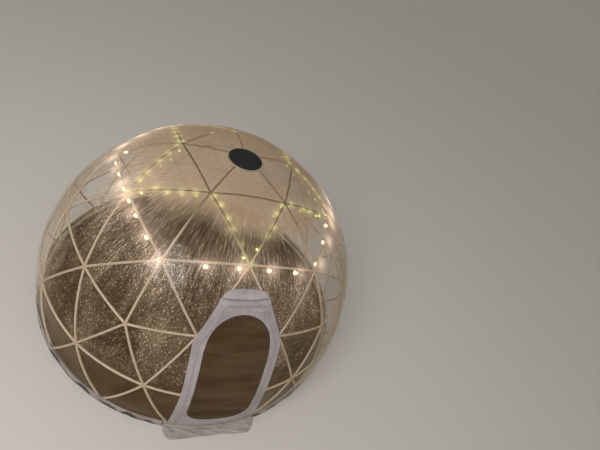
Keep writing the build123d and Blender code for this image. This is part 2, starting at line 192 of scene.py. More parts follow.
@dataclass(frozen=True)
class MouldedPlastic(Finish):
    """White PVC and nylon of the frame: smooth, with faint stains, and painted darker toward the crown as
    painted shade.
    """

    # painted shade: the colour turns to this toward the crown; faint stains also turn toward it
    crown_shade_and_stain_colour: str = "#55471f"
    stains: float = 0.09     # metres from one faint stain to the next
    grain: float = 2 * MM
    low: float = 1.72        # the painted shade starts at this height
    high: float = 2.02

    def shade(self, add: Adder) -> Look:
        """Painted shade by height, faint stains and a soft moulded grain.

        Args:
            add: adds a node.

        Returns:
            The shader's inputs.
        """
        place = add(Guide.PLACE.value)
        stain = add(NOISE, place, 1 / self.stains, 4.0)
        # darker toward the crown: painted shade
        tone = add(MIX, add(SMOOTH, add(HEIGHT, place), self.low, self.high), self.colour, self.crown_shade_and_stain_colour)
        return {"Base Color": add(MIX, add(SMOOTH, stain, 0.5, 0.8, 0.0, 0.28), tone, self.crown_shade_and_stain_colour),
                "Normal": add(BUMP, add(NOISE, place, 1 / self.grain, 3.0), 0.15 * MM, 0.5),
                "Roughness": add(SMOOTH, stain, 0.3, 0.8, self.roughness, self.roughness + 0.18)}


@dataclass(frozen=True)
class FoggedFilm(Finish):
    """Clear calendered PVC film, 0.5 mm: glossy, wet inside with runs and drops, and fogged at the crown."""

    haze: str = "#ab9474"        # thin fog, lower down
    water: str = "#d6c3ad"       # runs and drops catch the light
    painted_lamp_light: str = "#ffdcc2"        # painted glow of the lamps in the fog
    painted_fairy_light: str = "#dcdb84"       # painted glow of the fairy bulbs in the fog
    radius: float = 1.8
    vent: tuple[float, float, float] = (0.0, -0.03, 0.0)
    crown: tuple[float, float] = (1.665, 1.865)  # the fog thickens between these heights at the middle
    lean: tuple[float, float, float] = (0.03, 0.17, 1.0)     # it starts lower at the back and the right
    foot: tuple[float, float] = (0.6, 1.6)       # thin fog thickens between these heights
    belt: tuple[float, float, float, float] = (0.6, 1.0, 1.7, 1.4)   # paler patches come and go
    upper: tuple[float, float, float, float] = (1.15, 1.6, 1.85, 2.05)       # so do streaks and runs
    middle: tuple[float, float, float, float] = (0.3, 0.85, 1.9, 1.6)        # so do drops
    foot_alpha: float = 0.06
    middle_alpha: float = 0.13
    crown_alpha: float = 0.72
    crown_roughness: float = 0.4
    cloud_size: float = 0.55     # of the broad uneven fog
    fold_width: float = 30 * MM  # of the streaks that fan out from the vent
    fold_length: float = 0.6
    run_width: float = 8 * MM    # drawn wider than real runs, so that they show
    run_length: float = 52 * MM
    drop_pitch: float = 19 * MM
    drop_squash: tuple[float, float, float] = (1.0, 1.0, 0.55)
    bank_width: float = 0.17     # of the paler patches
    bank_length: float = 0.42
    touch: tuple[float, float] = (4 * MM, 12 * MM)   # fog is thin this close to a tube's middle
    painted_glow_alpha: float = 0.3       # the painted glow adds this much opacity
    painted_glow_strength: float = 1.25   # and it gives off this much light, as emission

    def meridian(self, add: Adder, place: Socket, width: float, length: float) -> Socket:
        """Coordinates that count one for each width round the dome and each length up it.

        Args:
            add: adds a node.
            place: object coordinates.
            width, length: of one streak, in metres.

        Returns:
            The coordinates.
        """
        level = add(V_TIMES, add(V_LESS, place, self.vent), (1, 1, 0))
        wide = add(V_SCALE, add(V_UNIT, level), self.radius / width)
        return add(V_SUM, wide, add(V_TIMES, place, (0, 0, 1 / length)))

    @staticmethod
    def between(add: Adder, height: Socket, levels: tuple[float, ...], *shares: float) -> Socket:
        """Comes between the first two levels, and goes from one share to the other between the last two."""
        return add(TIMES, add(SMOOTH, height, *levels[:2]), add(SMOOTH, height, *levels[2:], *shares))

    def drops(self, add: Adder, place: Socket) -> Socket:
        """Drops and short runs of uneven size that hang on the film, from 0 to 1.

        Args:
            add: adds a node.
            place: object coordinates.

        Returns:
            How much water there is.
        """
        tall = add(V_TIMES, place, self.drop_squash)
        away = add(CELLS, tall, 1 / self.drop_pitch)
        size = add(SMOOTH, away.node.outputs["Color"], 0.15, 0.9, 0.06, 0.42)
        beads = add(SMOOTH, add(LESS, size, away), 0.0, 0.12)
        smears = add(SMOOTH, add(NOISE, tall, 1 / (0.6 * self.drop_pitch), 2.0), 0.54, 0.72)
        return add(LARGER, add(TIMES, beads, 0.75), smears)

    def water_share(self, add: Adder, place: Socket, height: Socket, fine: Socket, cloud: Socket,
                    upper: Socket) -> Socket:
        """Opacity of the runs and the drops.

        Args:
            add: adds a node.
            place, height: on the film.
            fine: noise of the runs.
            cloud: broad noise of the fog.
            upper: where runs show.

        Returns:
            The opacity.
        """
        middle = self.between(add, height, self.middle)
        runs = add(TIMES, add(SMOOTH, fine, 0.46, 0.74, 0.0, 0.34), upper)
        hung = add(TIMES, add(TIMES, self.drops(add, place), 0.36),
                   add(TIMES, middle, add(SMOOTH, cloud, 0.32, 0.55, 0.8, 1.0)))
        return add(SUM, runs, hung)

    def shade(self, add: Adder) -> Look:
        """Fog, streaks, runs and drops as opacity and colour, and a painted glow of the lamps in the fog.

        Args:
            add: adds a node.

        Returns:
            The shader's inputs.
        """
        place = add(Guide.PLACE.value)
        height = add(HEIGHT, place)
        cloud = add(NOISE, place, 1 / self.cloud_size, 3.0)
        folds = add(NOISE, self.meridian(add, place, self.fold_width, self.fold_length), 1.0, 3.0)
        fine = add(NOISE, self.meridian(add, place, self.run_width, self.run_length), 1.0, 4.0)
        banks = add(NOISE, self.meridian(add, place, self.bank_width, self.bank_length), 1.0, 5.0)
        uneven = add(SUM, add(V_DOT, place, self.lean), add(TIMES, add(LESS, cloud, 0.5), 0.3))
        level = add(SMOOTH, uneven, *self.crown)
        fog = add(SUM, add(SMOOTH, height, *self.foot, self.foot_alpha, self.middle_alpha),
                  add(TIMES, level, self.crown_alpha - self.middle_alpha))
        patch = add(SMOOTH, cloud, 0.35, 0.68, -0.07, 0.12)
        belt = self.between(add, height, self.belt)
        bank = add(TIMES, add(TIMES, belt, add(SMOOTH, fine, 0.35, 0.65, 0.5, 1.4)),
                   add(SMOOTH, banks, 0.49, 0.66, 0.0, 0.22))
        upper = self.between(add, height, self.upper, 1.0, 0.3)
        streak = add(TIMES, add(SMOOTH, folds, 0.36, 0.7, -0.05, 0.1), upper)
        water = self.water_share(add, place, height, fine, cloud, upper)
        edge_on = add(TIMES, add(SMOOTH, add(FACING, 0.5), 0.45, 1.0, 0.0, 0.7),
                      add(SMOOTH, height, 0.1, 0.8, 0.3, 1.0))
        dry = add(SUM, add(SUM, fog, patch), add(SUM, streak, bank))
        gap = add(VALUE, attribute_name="tube_gap")
        touched = add(TIMES, dry, add(SMOOTH, gap, *self.touch, 0.3, 1.0))
        # painted light: the film glows round the lamps and bulbs, though it is no lamp
        painted_lamp_light, painted_fairy_light = (add(VALUE, attribute_name=name) for name in ("lamp_glow", "fairy_glow"))
        glow = add(SUM, painted_lamp_light, painted_fairy_light)
        tone = add(MIX, level, self.haze, self.colour)
        return {"Base Color": add(MIX, add(SMOOTH, water, 0.0, 0.35), tone, self.water), "IOR": PVC_IOR,
                "Alpha": add(SUM, add(SUM, add(SUM, touched, water), edge_on),
                             add(TIMES, glow, self.painted_glow_alpha), use_clamp=True),
                "Roughness": add(SMOOTH, level, 0.0, 1.0, self.roughness, self.crown_roughness),
                "Normal": add(BUMP, folds, 2 * MM, 0.6),
                "Emission Color": add(MIX, add(OVER, painted_fairy_light, add(SUM, glow, 0.001)), self.painted_lamp_light, self.painted_fairy_light),
                "Emission Strength": add(TIMES, glow, self.painted_glow_strength)}


@dataclass(frozen=True)
class WindowFilm(Finish):
    """Clear PVC window sheet: glossy, nearly free of fog, with faint waves and a few drops."""

    alpha: float = 0.13
    wave_size: tuple[float, float, float] = (1.5, 1.5, 9.0)
    drop_pitch: float = 38 * MM

    def shade(self, add: Adder) -> Look:
        """A thin even haze with clearer waves across it, and drops.

        Args:
            add: adds a node.

        Returns:
            The shader's inputs.
        """
        place = add(Guide.PLACE.value)
        waves = add(NOISE, add(STRETCH, place, self.wave_size), 1.4, 3.0)
        drops = add(SMOOTH, add(CELLS, place, 1 / self.drop_pitch), 0.14, 0.07, 0.0, 0.4)
        edge_on = add(SMOOTH, add(FACING, 0.5), 0.6, 1.0, 0.0, 0.4)
        haze = add(SUM, add(SMOOTH, waves, 0.35, 0.7, self.alpha * 0.5, self.alpha * 1.6), drops)
        return {"Alpha": add(SUM, haze, edge_on, use_clamp=True), "IOR": PVC_IOR,
                "Normal": add(BUMP, waves, 4 * MM, 0.4)}


@dataclass(frozen=True)
class CoatedSheet(Finish):
    """PVC-coated polyester cloth: matt white with a soft sheen, its weave faintly raised, creased in use."""

    shadow: str = "#857b7c"
    # painted shade: the colour just below deep folds and along the hem's lower edge
    crease_dirt: str = "#4f474a"
    thread: float = 3 * MM       # drawn three times as coarse as the real cloth, so that it shows
    crease: float = 55 * MM

    def shade(self, add: Adder) -> Look:
        """Faint stains, painted shade from a vertex attribute, soft creases and the raised weave.

        Args:
            add: adds a node.

        Returns:
            The shader's inputs.
        """
        cut, place = add(Guide.CUT.value), add(Guide.PLACE.value)
        dirt_and_painted_shade = add(NOISE, place, 4.5, 5.0, 0.62)
        crinkle = add(NOISE, place, 1 / self.crease, 3.0, 0.5, 0.6)
        tone = add(MIX, add(SMOOTH, dirt_and_painted_shade, 0.4, 0.72, 0.0, 0.75), self.colour, self.shadow)
        weave = add(BUMP, woven(add, cut, self.thread), 0.25 * MM, 0.5)
        # the vertex attribute darkens the sheet below its folds and along the hem's foot: painted shade
        return {"Base Color": add(MIX, add(VALUE, attribute_name="crease_dirt"), tone, self.crease_dirt),
                "Normal": add(BUMP, crinkle, 2.5 * MM, 0.5, weave), "Sheen Weight": 0.15,
                "Roughness": add(SMOOTH, dirt_and_painted_shade, 0.3, 0.7, self.roughness, self.roughness + 0.2)}


@dataclass(frozen=True)
class Weave(Finish):
    """Woven cloth whose threads show in relief and tone: the vent's screen, the mat and the zip's tape."""

    valley: str = "#070809"
    pitch: float = 4 * MM
    guide: Guide = Guide.CUT
    patch: str = "#0f1113"
    patch_size: float = 0.25

    def shade(self, add: Adder) -> Look:
        """Threads over darker gaps, with broad uneven tone.

        Args:
            add: adds a node.

        Returns:
            The shader's inputs.
        """
        threads = woven(add, add(self.guide.value), self.pitch)
        broad = add(NOISE, add(Guide.PLACE.value), 1 / self.patch_size, 5.0)
        tone = add(MIX, add(SMOOTH, broad, 0.35, 0.7), self.colour, self.patch)
        return {"Base Color": add(MIX, add(SMOOTH, threads, 0.0, 0.45), self.valley, tone),
                "Normal": add(BUMP, threads, self.pitch * 0.06, 0.6)}


@dataclass(frozen=True)
class Lamp(Finish):
    """Frosted glass or plastic lit from inside: pale, evenly lit, softly glossy."""

    light: str = "#ffd9a0"
    strength: float = 2.5
    frost: float = 3 * MM

    def shade(self, add: Adder) -> Look:
        """Light and a frosted surface.

        Args:
            add: adds a node.

        Returns:
            The shader's inputs.
        """
        frost = add(NOISE, add(Guide.PLACE.value), 1 / self.frost)
        return {"Emission Color": self.light, "Emission Strength": self.strength,
                "Normal": add(BUMP, frost, 0.2 * MM, 0.5)}


@dataclass(frozen=True)
class Hardware(Finish):
    """Small moulded or cast parts: an even colour with a rubbed grain."""

    metallic: float = 0.0
    rubbed: str = "#8f8b86"
    grain: float = 3 * MM

    def shade(self, add: Adder) -> Look:
        """Rubbed tone and a fine grain.

        Args:
            add: adds a node.

        Returns:
            The shader's inputs.
        """
        speck = add(NOISE, add(Guide.PLACE.value), 1 / self.grain, 3.0)
        return {"Base Color": add(MIX, add(SMOOTH, speck, 0.5, 0.75, 0.0, 0.6), self.colour, self.rubbed),
                "Metallic": self.metallic, "Normal": add(BUMP, speck, 0.1 * MM, 0.4)}


# The frame's plastics are smooth and softly glossy; the hubs, moulded, are duller than the tubes.
TUBES = MouldedPlastic("extruded_pvc_tube", "#cbb69a", 0.32)
# The hubs turn nearly black toward the crown: painted shade.
HUBS = MouldedPlastic("moulded_nylon_hub", "#c3ae90", 0.42, crown_shade_and_stain_colour="#2e2617")
# The films mirror sharply and are seen through.
FILM = FoggedFilm("fogged_pvc_film", "#ab8f70", 0.12)
WINDOW = WindowFilm("clear_pvc_window", "#8a7458", 0.08)
# Coated cloth is matt, and stains, creases and painted shade show on it.
BAND = CoatedSheet("coated_polyester_white", "#aba1a2", 0.45, shadow="#887e7d")
# Near black along the hem's lower edge: painted shadow.
HEM = CoatedSheet("coated_polyester_hem", "#a19795", 0.55, shadow="#7a7069", crease_dirt="#1d1914")
SILL = CoatedSheet("coated_polyester_sill", "#a89e97", 0.55, shadow="#877d73", crease=40 * MM)
RIM = CoatedSheet("welded_pvc_rim", "#9c8867", 0.4, shadow="#75654c")
# Bare cloth is dull, and its threads show close by.
SCREEN = Weave("woven_polyester_screen", "#181a1d", 0.85, pitch=5 * MM)
MAT = Weave("woven_polypropylene_mat", "#553a18", 0.85, valley="#4a3312", pitch=7 * MM, guide=Guide.PLACE,
            patch="#432c12", patch_size=0.45)
TAPE = Weave("woven_zip_tape", "#a99fa0", 0.65, valley="#958b8c", pitch=2.5 * MM, patch="#a09697")
# Small parts: moulded ones shine softly, metal ones sharply, and thread is dull.
TEETH = Hardware("moulded_zip_coil", "#b4abaa", 0.4, rubbed="#9a9090")
CAST = Hardware("cast_zinc_pull", "#9a968f", 0.38, metallic=1.0, rubbed="#c8c4bc")
THREAD = Hardware("polyester_thread", "#cfc8c4", 0.7)
JACKET = Hardware("wire_jacket", "#2b2a1e", 0.45, rubbed="#45412f")
COPPER = Hardware("lacquered_copper_wire", "#8a6a3c", 0.3, metallic=1.0, rubbed="#a88650")
SOCKETS = Hardware("moulded_lamp_socket", "#2a261d", 0.5, rubbed="#4a4436")
# Frosted lamps glow evenly, without a sharp highlight.
GLOBES = Lamp("frosted_globe", "#fff0d8", 0.25)
FAIRY = Lamp("frosted_fairy_bulb", "#eef0b8", 0.25, light="#e6ee78", strength=2.0)


def stacked(*parts: Points | float) -> Points:
    """Points from their coordinates, spread over each other's shapes, with one more axis."""
    return np.stack(np.broadcast_arrays(*parts), axis=-1)


def noise_at(x: Points, y: Points | float, z: Points | float) -> Points:
    """Soft noise, mostly from -0.5 to 0.5, at each of some places."""
    places = stacked(x, y, z)
    return np.array([noise.noise(p) for p in places.reshape(-1, 3).tolist()]).reshape(places.shape[:-1])


def steps_of(line: Points) -> Points:
    """Length of each step along a line."""
    return np.linalg.norm(np.diff(line, axis=0), axis=1)


def length_along(line: Points) -> Points:
    """How far along a line each of its points lies."""
    return np.concatenate([[0], np.cumsum(steps_of(line))])


def grid_faces(rows: int, columns: int) -> np.ndarray:
    """Quads over a grid of points, counted along each row in turn."""
    start = (np.arange(rows - 1)[:, None] * columns + np.arange(columns - 1)).ravel()
    return np.stack([start, start + 1, start + columns + 1, start + columns], axis=1)


@dataclass
class Dome:
    """The frame's shape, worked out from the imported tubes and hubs.

    A hub's name is its ring, crown first, and its place in the ring. Hubs are unit vectors from
    the dome's centre.
    """

    base_ring: int = 5
    joint_ring: int = 6          # stands for the joints of the door posts
    chord: float = 0.45          # of the radius; hubs that share a tube lie nearer to each other
    head_turn: float = 13.6      # degrees from the door's middle to the hubs beside it
    foot_turn: float = 11.8
    side_turn: float = 24.2
    foot_half: float = 0.410     # the door posts at their feet, joints and heads, from the middle
    joint_half: float = 0.392
    head_half: float = 0.375

    def __post_init__(self) -> None:
        """Reads the sizes and sets the hubs and facets."""
        low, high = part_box("struts_base")
        self.tube = (high.z - low.z) / 2
        reach = (high.x - low.x) / 2 - self.tube
        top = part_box("crown_hub")[1].z - 2 * self.tube
        self.radius = (top + reach ** 2 / top) / 2
        self.centre = Vector((0, 0, self.tube + top - self.radius))
        self.hubs = {(ring, k): p for ring, row in enumerate(self.rings()) for k, p in enumerate(row)}
        names = list(self.hubs)
        near = {(a, b) for k, a in enumerate(names) for b in names[k + 1:]
                if (self.hubs[a] - self.hubs[b]).length < self.chord}
        self.facets = sorted({tuple(sorted((a, b, c))) for a, b in near for c in names
                              if {tuple(sorted((a, c))), tuple(sorted((b, c)))} <= near})
        self.open_door_bay()

    @staticmethod
    def toward(azimuth: float, latitude: float) -> Vector:
        """Unit vector at degrees round from the door and degrees up."""
        a, b = math.radians(azimuth), math.radians(latitude)
        return Vector((math.sin(a) * math.cos(b), -math.cos(a) * math.cos(b), math.sin(b)))

    @staticmethod
    def azimuth(p: Vector) -> float:
        """Degrees round from the door, from -180 to 180."""
        return round(math.degrees(math.atan2(p.x, -p.y)), 3)

    def rings(self) -> list[list[Vector]]:
        """Hub directions of the three-frequency icosahedral dome, by ring.

        Returns:
            Unit vectors of each ring, crown first, in order round the dome.
        """
        up, latitude = Vector((0, 0, 1)), math.degrees(math.atan(0.5))
        upper = [self.toward(36 + 72 * k, latitude) for k in range(5)]
        lower = [self.toward(72 * k, -latitude) for k in range(5)]
        rings = [[up], [], [], [], [], []]
        for k, u in enumerate(upper):
            v, before, below, beside = upper[(k + 1) % 5], upper[k - 1], lower[k], lower[(k + 1) % 5]
            rings[1].append(up * 2 + u)
            rings[2] += [up + u * 2, up + u + v]
            rings[3] += [u * 3, u * 2 + v, u + v * 2]
            rings[4] += [before * 2 + below, before + u + below, u * 2 + below]
            rings[5] += [before + below * 2, u + below * 2, u + below + beside]
        rings = [[p.normalized() for p in ring] for ring in rings]
        drop = math.degrees(math.asin((self.tube - self.centre.z) / self.radius))
        rings[self.base_ring] = [self.toward(self.azimuth(p), drop) for p in rings[self.base_ring]]
        return [sorted(ring, key=self.azimuth) for ring in rings]

    def near(self, ring: int, azimuth: float) -> tuple[int, int]:
        """Name of the hub of a ring that lies nearest to an azimuth.

        Args:
            ring: of the hub.
            azimuth: degrees round from the door.

        Returns:
            Its ring and its place in it.
        """
        def away(name: tuple[int, int]) -> float:
            turn = abs(self.azimuth(self.hubs[name]) - azimuth) % 360
            return min(turn, 360 - turn)
        return min((n for n in self.hubs if n[0] == ring), key=away)

    def open_door_bay(self) -> None:
        """Takes the hub out of the doorway and sets the posts beside it."""
        gone = self.near(4, 0)
        heads, feet, sides = ([self.near(ring, side * away) for side in (-1, 1)]
                              for ring, away in ((3, self.head_turn), (self.base_ring, self.foot_turn),
                                                 (4, self.side_turn)))
        self.facets = [f for f in self.facets if gone not in f]
        del self.hubs[gone]
        foot, head = self.hubs[feet[0]].z, self.hubs[heads[0]].z
        for k, side in enumerate((-1, 1)):
            joint = (self.joint_ring, k)
            for name, half, rise in ((feet[k], self.foot_half, foot), (heads[k], self.head_half, head),
                                     (joint, self.joint_half, (foot + head) / 2)):
                x = side * half / self.radius
                self.hubs[name] = Vector((x, -math.sqrt(1 - x * x - rise * rise), rise))
            self.facets += [(joint, sides[k], feet[k]), (joint, sides[k], heads[k])]
        self.open_edge = set(heads)
        self.head = self.centre.z + head * self.radius
        self.joint = self.centre.z + (foot + head) / 2 * self.radius

    def ground_radius(self, outward: float, height: float) -> float:
        """Radius, at a height, of the sphere that lies outward from the tubes' line."""
        return math.sqrt((self.radius + outward) ** 2 - (self.centre.z - height) ** 2)

    def on_front(self, x: Points, z: Points, outward: Points | float) -> Points:
        """Points on the front of the dome for places seen from the front.

        Args:
            x, z: the places.
            outward: of the tubes' centre line.

        Returns:
            An array with one more axis, for x, y and z.
        """
        y = -np.sqrt((self.radius + outward) ** 2 - x ** 2 - (z - self.centre.z) ** 2)
        return stacked(x, y, z)


def new_piece(name: str, points: Points, faces: Points, finish: Finish, source: Vector,
              cut: Points | None = None, values: dict[str, Points] | None = None) -> bpy.types.Object:
    """Makes a mesh object, with doubles merged and its faces turned away from a point.

    Args:
        name: of the piece.
        points: one row for each vertex.
        faces: vertex numbers, one row for each face.
        finish: of the surface.
        source: the faces point away from here.
        cut: the place of each vertex on the flat cloth, in metres, for the piece's own UV map.
        values: numbers for each vertex, by the attribute's name.

    Returns:
        The object, in the scene, with its place in its mesh.
    """
    points, faces = np.asarray(points, float).reshape(-1, 3), np.asarray(faces)
    a, b, c = (points[faces[:, k]] for k in range(3))
    normal = np.cross(b - a, c - b)
    if ((a - np.array(source)) * normal).sum() < 0:
        faces = faces[:, ::-1]
    mesh = bpy.data.meshes.new(name)
    mesh.from_pydata(points.tolist(), [], faces.tolist())
    if cut is not None:
        corner = np.zeros(len(mesh.loops), np.int32)
        mesh.loops.foreach_get("vertex_index", corner)
        layer = mesh.uv_layers.new(name="cut")
        layer.data.foreach_set("uv", np.asarray(cut, np.float32).reshape(-1, 2)[corner].ravel())
    for key, value in (values or {}).items():
        layer = mesh.attributes.new(key, "FLOAT", "POINT")
        layer.data.foreach_set("value", np.asarray(value, np.float32).ravel())
    work = bmesh.new()
    work.from_mesh(mesh)
    bmesh.ops.remove_doubles(work, verts=work.verts, dist=MERGE)
    loose = [v for v in work.verts if not v.link_faces]
    bmesh.ops.delete(work, geom=loose, context="VERTS")
    for face in work.faces:
        face.smooth = True
    work.to_mesh(mesh)
    work.free()
    mesh.materials.append(material_of(finish))
    piece = bpy.data.objects.new(name, mesh)
    bpy.context.scene.collection.objects.link(piece)
    return piece


def settle(piece: bpy.types.Object, slot: str, *nodes: str) -> None:
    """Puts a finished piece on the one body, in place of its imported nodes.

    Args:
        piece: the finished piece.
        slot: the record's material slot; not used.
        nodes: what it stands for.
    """
    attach(piece, BODY)
    if nodes:
        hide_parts(*nodes)
    LOG.info("%s: %d faces", piece.name, len(piece.data.polygons))


def thicken(piece: bpy.types.Object, thickness: float) -> None:
    """Gives a sheet its thickness, inward from its outer face.

    Args:
        piece: the sheet.
        thickness: of it.
    """
    wall = piece.modifiers.new("thickness", "SOLIDIFY")
    wall.thickness = thickness
    wall.offset = -1.0


def lathe(profile: list[tuple[float, float]], sides: int) -> tuple[Points, Points]:
    """A turned shape about Z.

    Args:
        profile: radius and height of each ring, from the bottom up.
        sides: of each ring.

    Returns:
        Its points and its faces.
    """
    turn = np.linspace(0, math.tau, sides + 1)
    radius, height = (np.array(v)[:, None] for v in zip(*profile))
    points = stacked(radius * np.cos(turn), radius * np.sin(turn), height)
    return points.reshape(-1, 3), grid_faces(len(profile), sides + 1)


def ball(radius: float, rings: int, squash: float = 1.0) -> list[tuple[float, float]]:
    """Profile of a ball, from its lowest point up to its top.

    Args:
        radius: of the ball.
        rings: steps from bottom to top.
        squash: height over width.

    Returns:
        Radius and height of each ring.
    """
    steps = np.linspace(0, math.pi, rings)
    return [(radius * math.sin(t), -radius * squash * math.cos(t)) for t in steps]


class RowMaker:
    """Sets copies of one small piece along a path, by Geometry Nodes."""

    seed = 7
    stitch_sides = 5

    def __init__(self, centre: Vector) -> None:
        """Builds the tree.

        Args:
            centre: outward is away from here.
        """
        self.centre = tuple(centre)
        self.tree = bpy.data.node_groups.new("row_along_path", "GeometryNodeTree")
        kinds = {"Path": "NodeSocketGeometry", "Piece": "NodeSocketObject", "Spacing": "NodeSocketFloat",
                 "Centre": "NodeSocketVector", "Scatter": "NodeSocketFloat", "Finish": "NodeSocketMaterial"}
        self.keys = {name: self.tree.interface.new_socket(name, in_out="INPUT", socket_type=kind).identifier
                     for name, kind in kinds.items()}
        self.tree.interface.new_socket("Row", in_out="OUTPUT", socket_type="NodeSocketGeometry")
        add = functools.partial(add_node, self.tree)
        given = add(Kind("NodeGroupInput")).node.outputs
        turn = Kind("FunctionNodeAlignRotationToVector", ("Vector", "Rotation"))
        path = add(Kind("GeometryNodeMeshToCurve", ("Mesh",)), given["Path"])
        even = add(Kind("GeometryNodeResampleCurve", ("Curve", "Length")), path, given["Spacing"],
                   mode="LENGTH")
        chance = add(Kind("FunctionNodeRandomValue", ("Min", "Max", "Seed")), (-1, -1, -1), (1, 1, 1),
                     self.seed, data_type="FLOAT_VECTOR")
        shift = add(V_SCALE, chance, given["Scatter"])
        loose = add(Kind("GeometryNodeSetPosition", ("Geometry", "Offset")), even, shift)
        outward = add(V_LESS, add(Kind("GeometryNodeInputPosition")), given["Centre"])
        tipped = add(turn, outward, axis="Z")
        turned = add(turn, add(Kind("GeometryNodeInputTangent")), tipped, axis="X", pivot_axis="Z")
        shape = add(Kind("GeometryNodeObjectInfo", ("Object",), "Geometry"), given["Piece"])
        copies = add(Kind("GeometryNodeInstanceOnPoints", ("Points", "Instance", "Rotation")),
                     loose, shape, turned)
        real = add(Kind("GeometryNodeRealizeInstances", ("Geometry",)), copies)
        dressed = add(Kind("GeometryNodeSetMaterial", ("Geometry", "Material")), real, given["Finish"])
        add(Kind("NodeGroupOutput", (0,)), dressed)

    def lay(self, name: str, paths: list[Points], shape: tuple[Points, Points], spacing: float,
            finish: Finish, scatter: float = 0.0) -> bpy.types.Object:
        """Makes one row piece.

        Args:
            name: of the piece.
            paths: the points of each line that it follows.
            shape: points and faces of one copy, X along the path and Z outward.
            spacing: from one copy to the next.
            finish: of the copies.
            scatter: how far a copy may stray.

        Returns:
            The piece, as a plain mesh.
        """
        pattern = new_piece(f"{name}_pattern", *shape, finish, Vector())
        mesh = bpy.data.meshes.new(name)
        starts = np.cumsum([0] + [len(p) for p in paths])
        edges = [(s + k, s + k + 1) for s, p in zip(starts, paths) for k in range(len(p) - 1)]
        mesh.from_pydata(np.concatenate(paths).tolist(), edges, [])
        row = bpy.data.objects.new(name, mesh)
        bpy.context.scene.collection.objects.link(row)
        maker = row.modifiers.new("row", "NODES")
        maker.node_group = self.tree
        for key, value in (("Piece", pattern), ("Spacing", spacing), ("Centre", self.centre),
                           ("Scatter", scatter), ("Finish", material_of(finish))):
            maker[self.keys[key]] = value
        view = bpy.context.evaluated_depsgraph_get()
        made = bpy.data.meshes.new_from_object(row.evaluated_get(view))
        row.modifiers.clear()
        row.data = made
        bpy.data.objects.remove(pattern)
        return row

    def sew(self, name: str, paths: list[Points], size: tuple[float, float, float], slot: str) -> None:
        """Makes rows of stitches.

        Args:
            name: of the piece.
            paths: the points of each row.
            size: length and radius of a stitch, and the spacing.
            slot: the record's material slot.
        """
        long, radius, spacing = size
        profile = [(0, -long / 2), (radius, -long / 4), (radius, long / 4), (0, long / 2)]
        points, faces = lathe(profile, self.stitch_sides)
        settle(self.lay(name, paths, (points[:, [2, 1, 0]], faces), spacing, THREAD), slot)


@dataclass
class Studio:
    """Camera at the photograph's angle, soft lights and a pale floor."""

    place: tuple[float, float, float] = (-1.1805, -3.4128, 4.4338)
    turn: tuple[float, float, float] = (48.576, -21.685, -13.887)
    lens: float = 25.074
    floor: Finish = Finish("pale_floor", "#cbc6be", 0.85)
    key_place: tuple[float, float, float] = (-4.5, -4.5, 6.5)
    key_aim: tuple[float, float, float] = (0.0, 0.0, 1.0)
    key_size: float = 4.0
    key_power: float = 380.0
    sky: str = "#ecebea"
    sky_strength: float = 0.65
    floor_profile: tuple[tuple[float, float], ...] = (
        (0.001, 0.0), (24.0, 0.0), (31.0, 1.2), (36.5, 4.2), (40.0, 9.0), (41.5, 16.0), (42.0, 30.0))
    floor_sides: int = 96

    @staticmethod
    def stand(data: bpy.types.ID, place: tuple[float, float, float], turn: Euler) -> bpy.types.Object:
        """Stands a camera or a lamp in the scene.

        Args:
            data: the camera or lamp.
            place: where it stands.
            turn: how it is turned.

        Returns:
            Its object.
        """
        made = bpy.data.objects.new(data.name, data)
        made.location = place
        made.rotation_euler = turn
        bpy.context.scene.collection.objects.link(made)
        return made

    def build(self) -> None:
        """Makes the camera, the lights and the floor."""
        scene = bpy.context.scene
        scene.view_settings.view_transform = "Standard"
        camera = bpy.data.cameras.new("camera")
        camera.lens = self.lens
        camera.clip_end = 2 * self.floor_profile[-1][0] + self.floor_profile[-1][1]
        scene.camera = self.stand(camera, self.place, Euler([math.radians(a) for a in self.turn]))
        lamp = bpy.data.lights.new("key", "AREA")
        lamp.size = self.key_size
        lamp.energy = self.key_power
        aim = Vector(self.key_aim) - Vector(self.key_place)
        self.stand(lamp, self.key_place, aim.to_track_quat("-Z", "Y").to_euler())
        world = bpy.data.worlds.new("sky")
        world.use_nodes = True
        world.node_tree.nodes.clear()
        add = functools.partial(add_node, world.node_tree)
        air = add(Kind("ShaderNodeBackground", ("Color", "Strength")), self.sky, self.sky_strength)
        add(Kind("ShaderNodeOutputWorld", ("Surface",)), air)
        scene.world = world
        shape = lathe(list(self.floor_profile), self.floor_sides)
        floor = new_piece("floor", *shape, self.floor, Vector((0, 0, -1)))


@dataclass
class Tubework:
    """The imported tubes, hubs, wires and zip pull, with their finish by the start of their names."""

    finishes: tuple[tuple[str, Finish], ...] = (
        ("crown_hub", HUBS), ("hubs_", HUBS), ("post_joints", HUBS),
        ("struts_", TUBES), ("door_post_", TUBES), ("door_side_spurs", TUBES),
        ("zip_pull", CAST), ("festoon_wire", JACKET), ("fairy_wire", COPPER))

    def dress(self) -> None:
        """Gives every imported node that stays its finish."""
        for start, finish in self.finishes:
            for name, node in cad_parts.items():
                if name.startswith(start):
                    for slot in node.material_slots:
                        slot.material = material_of(finish)
                    LOG.info("%s keeps its packed shape", name)


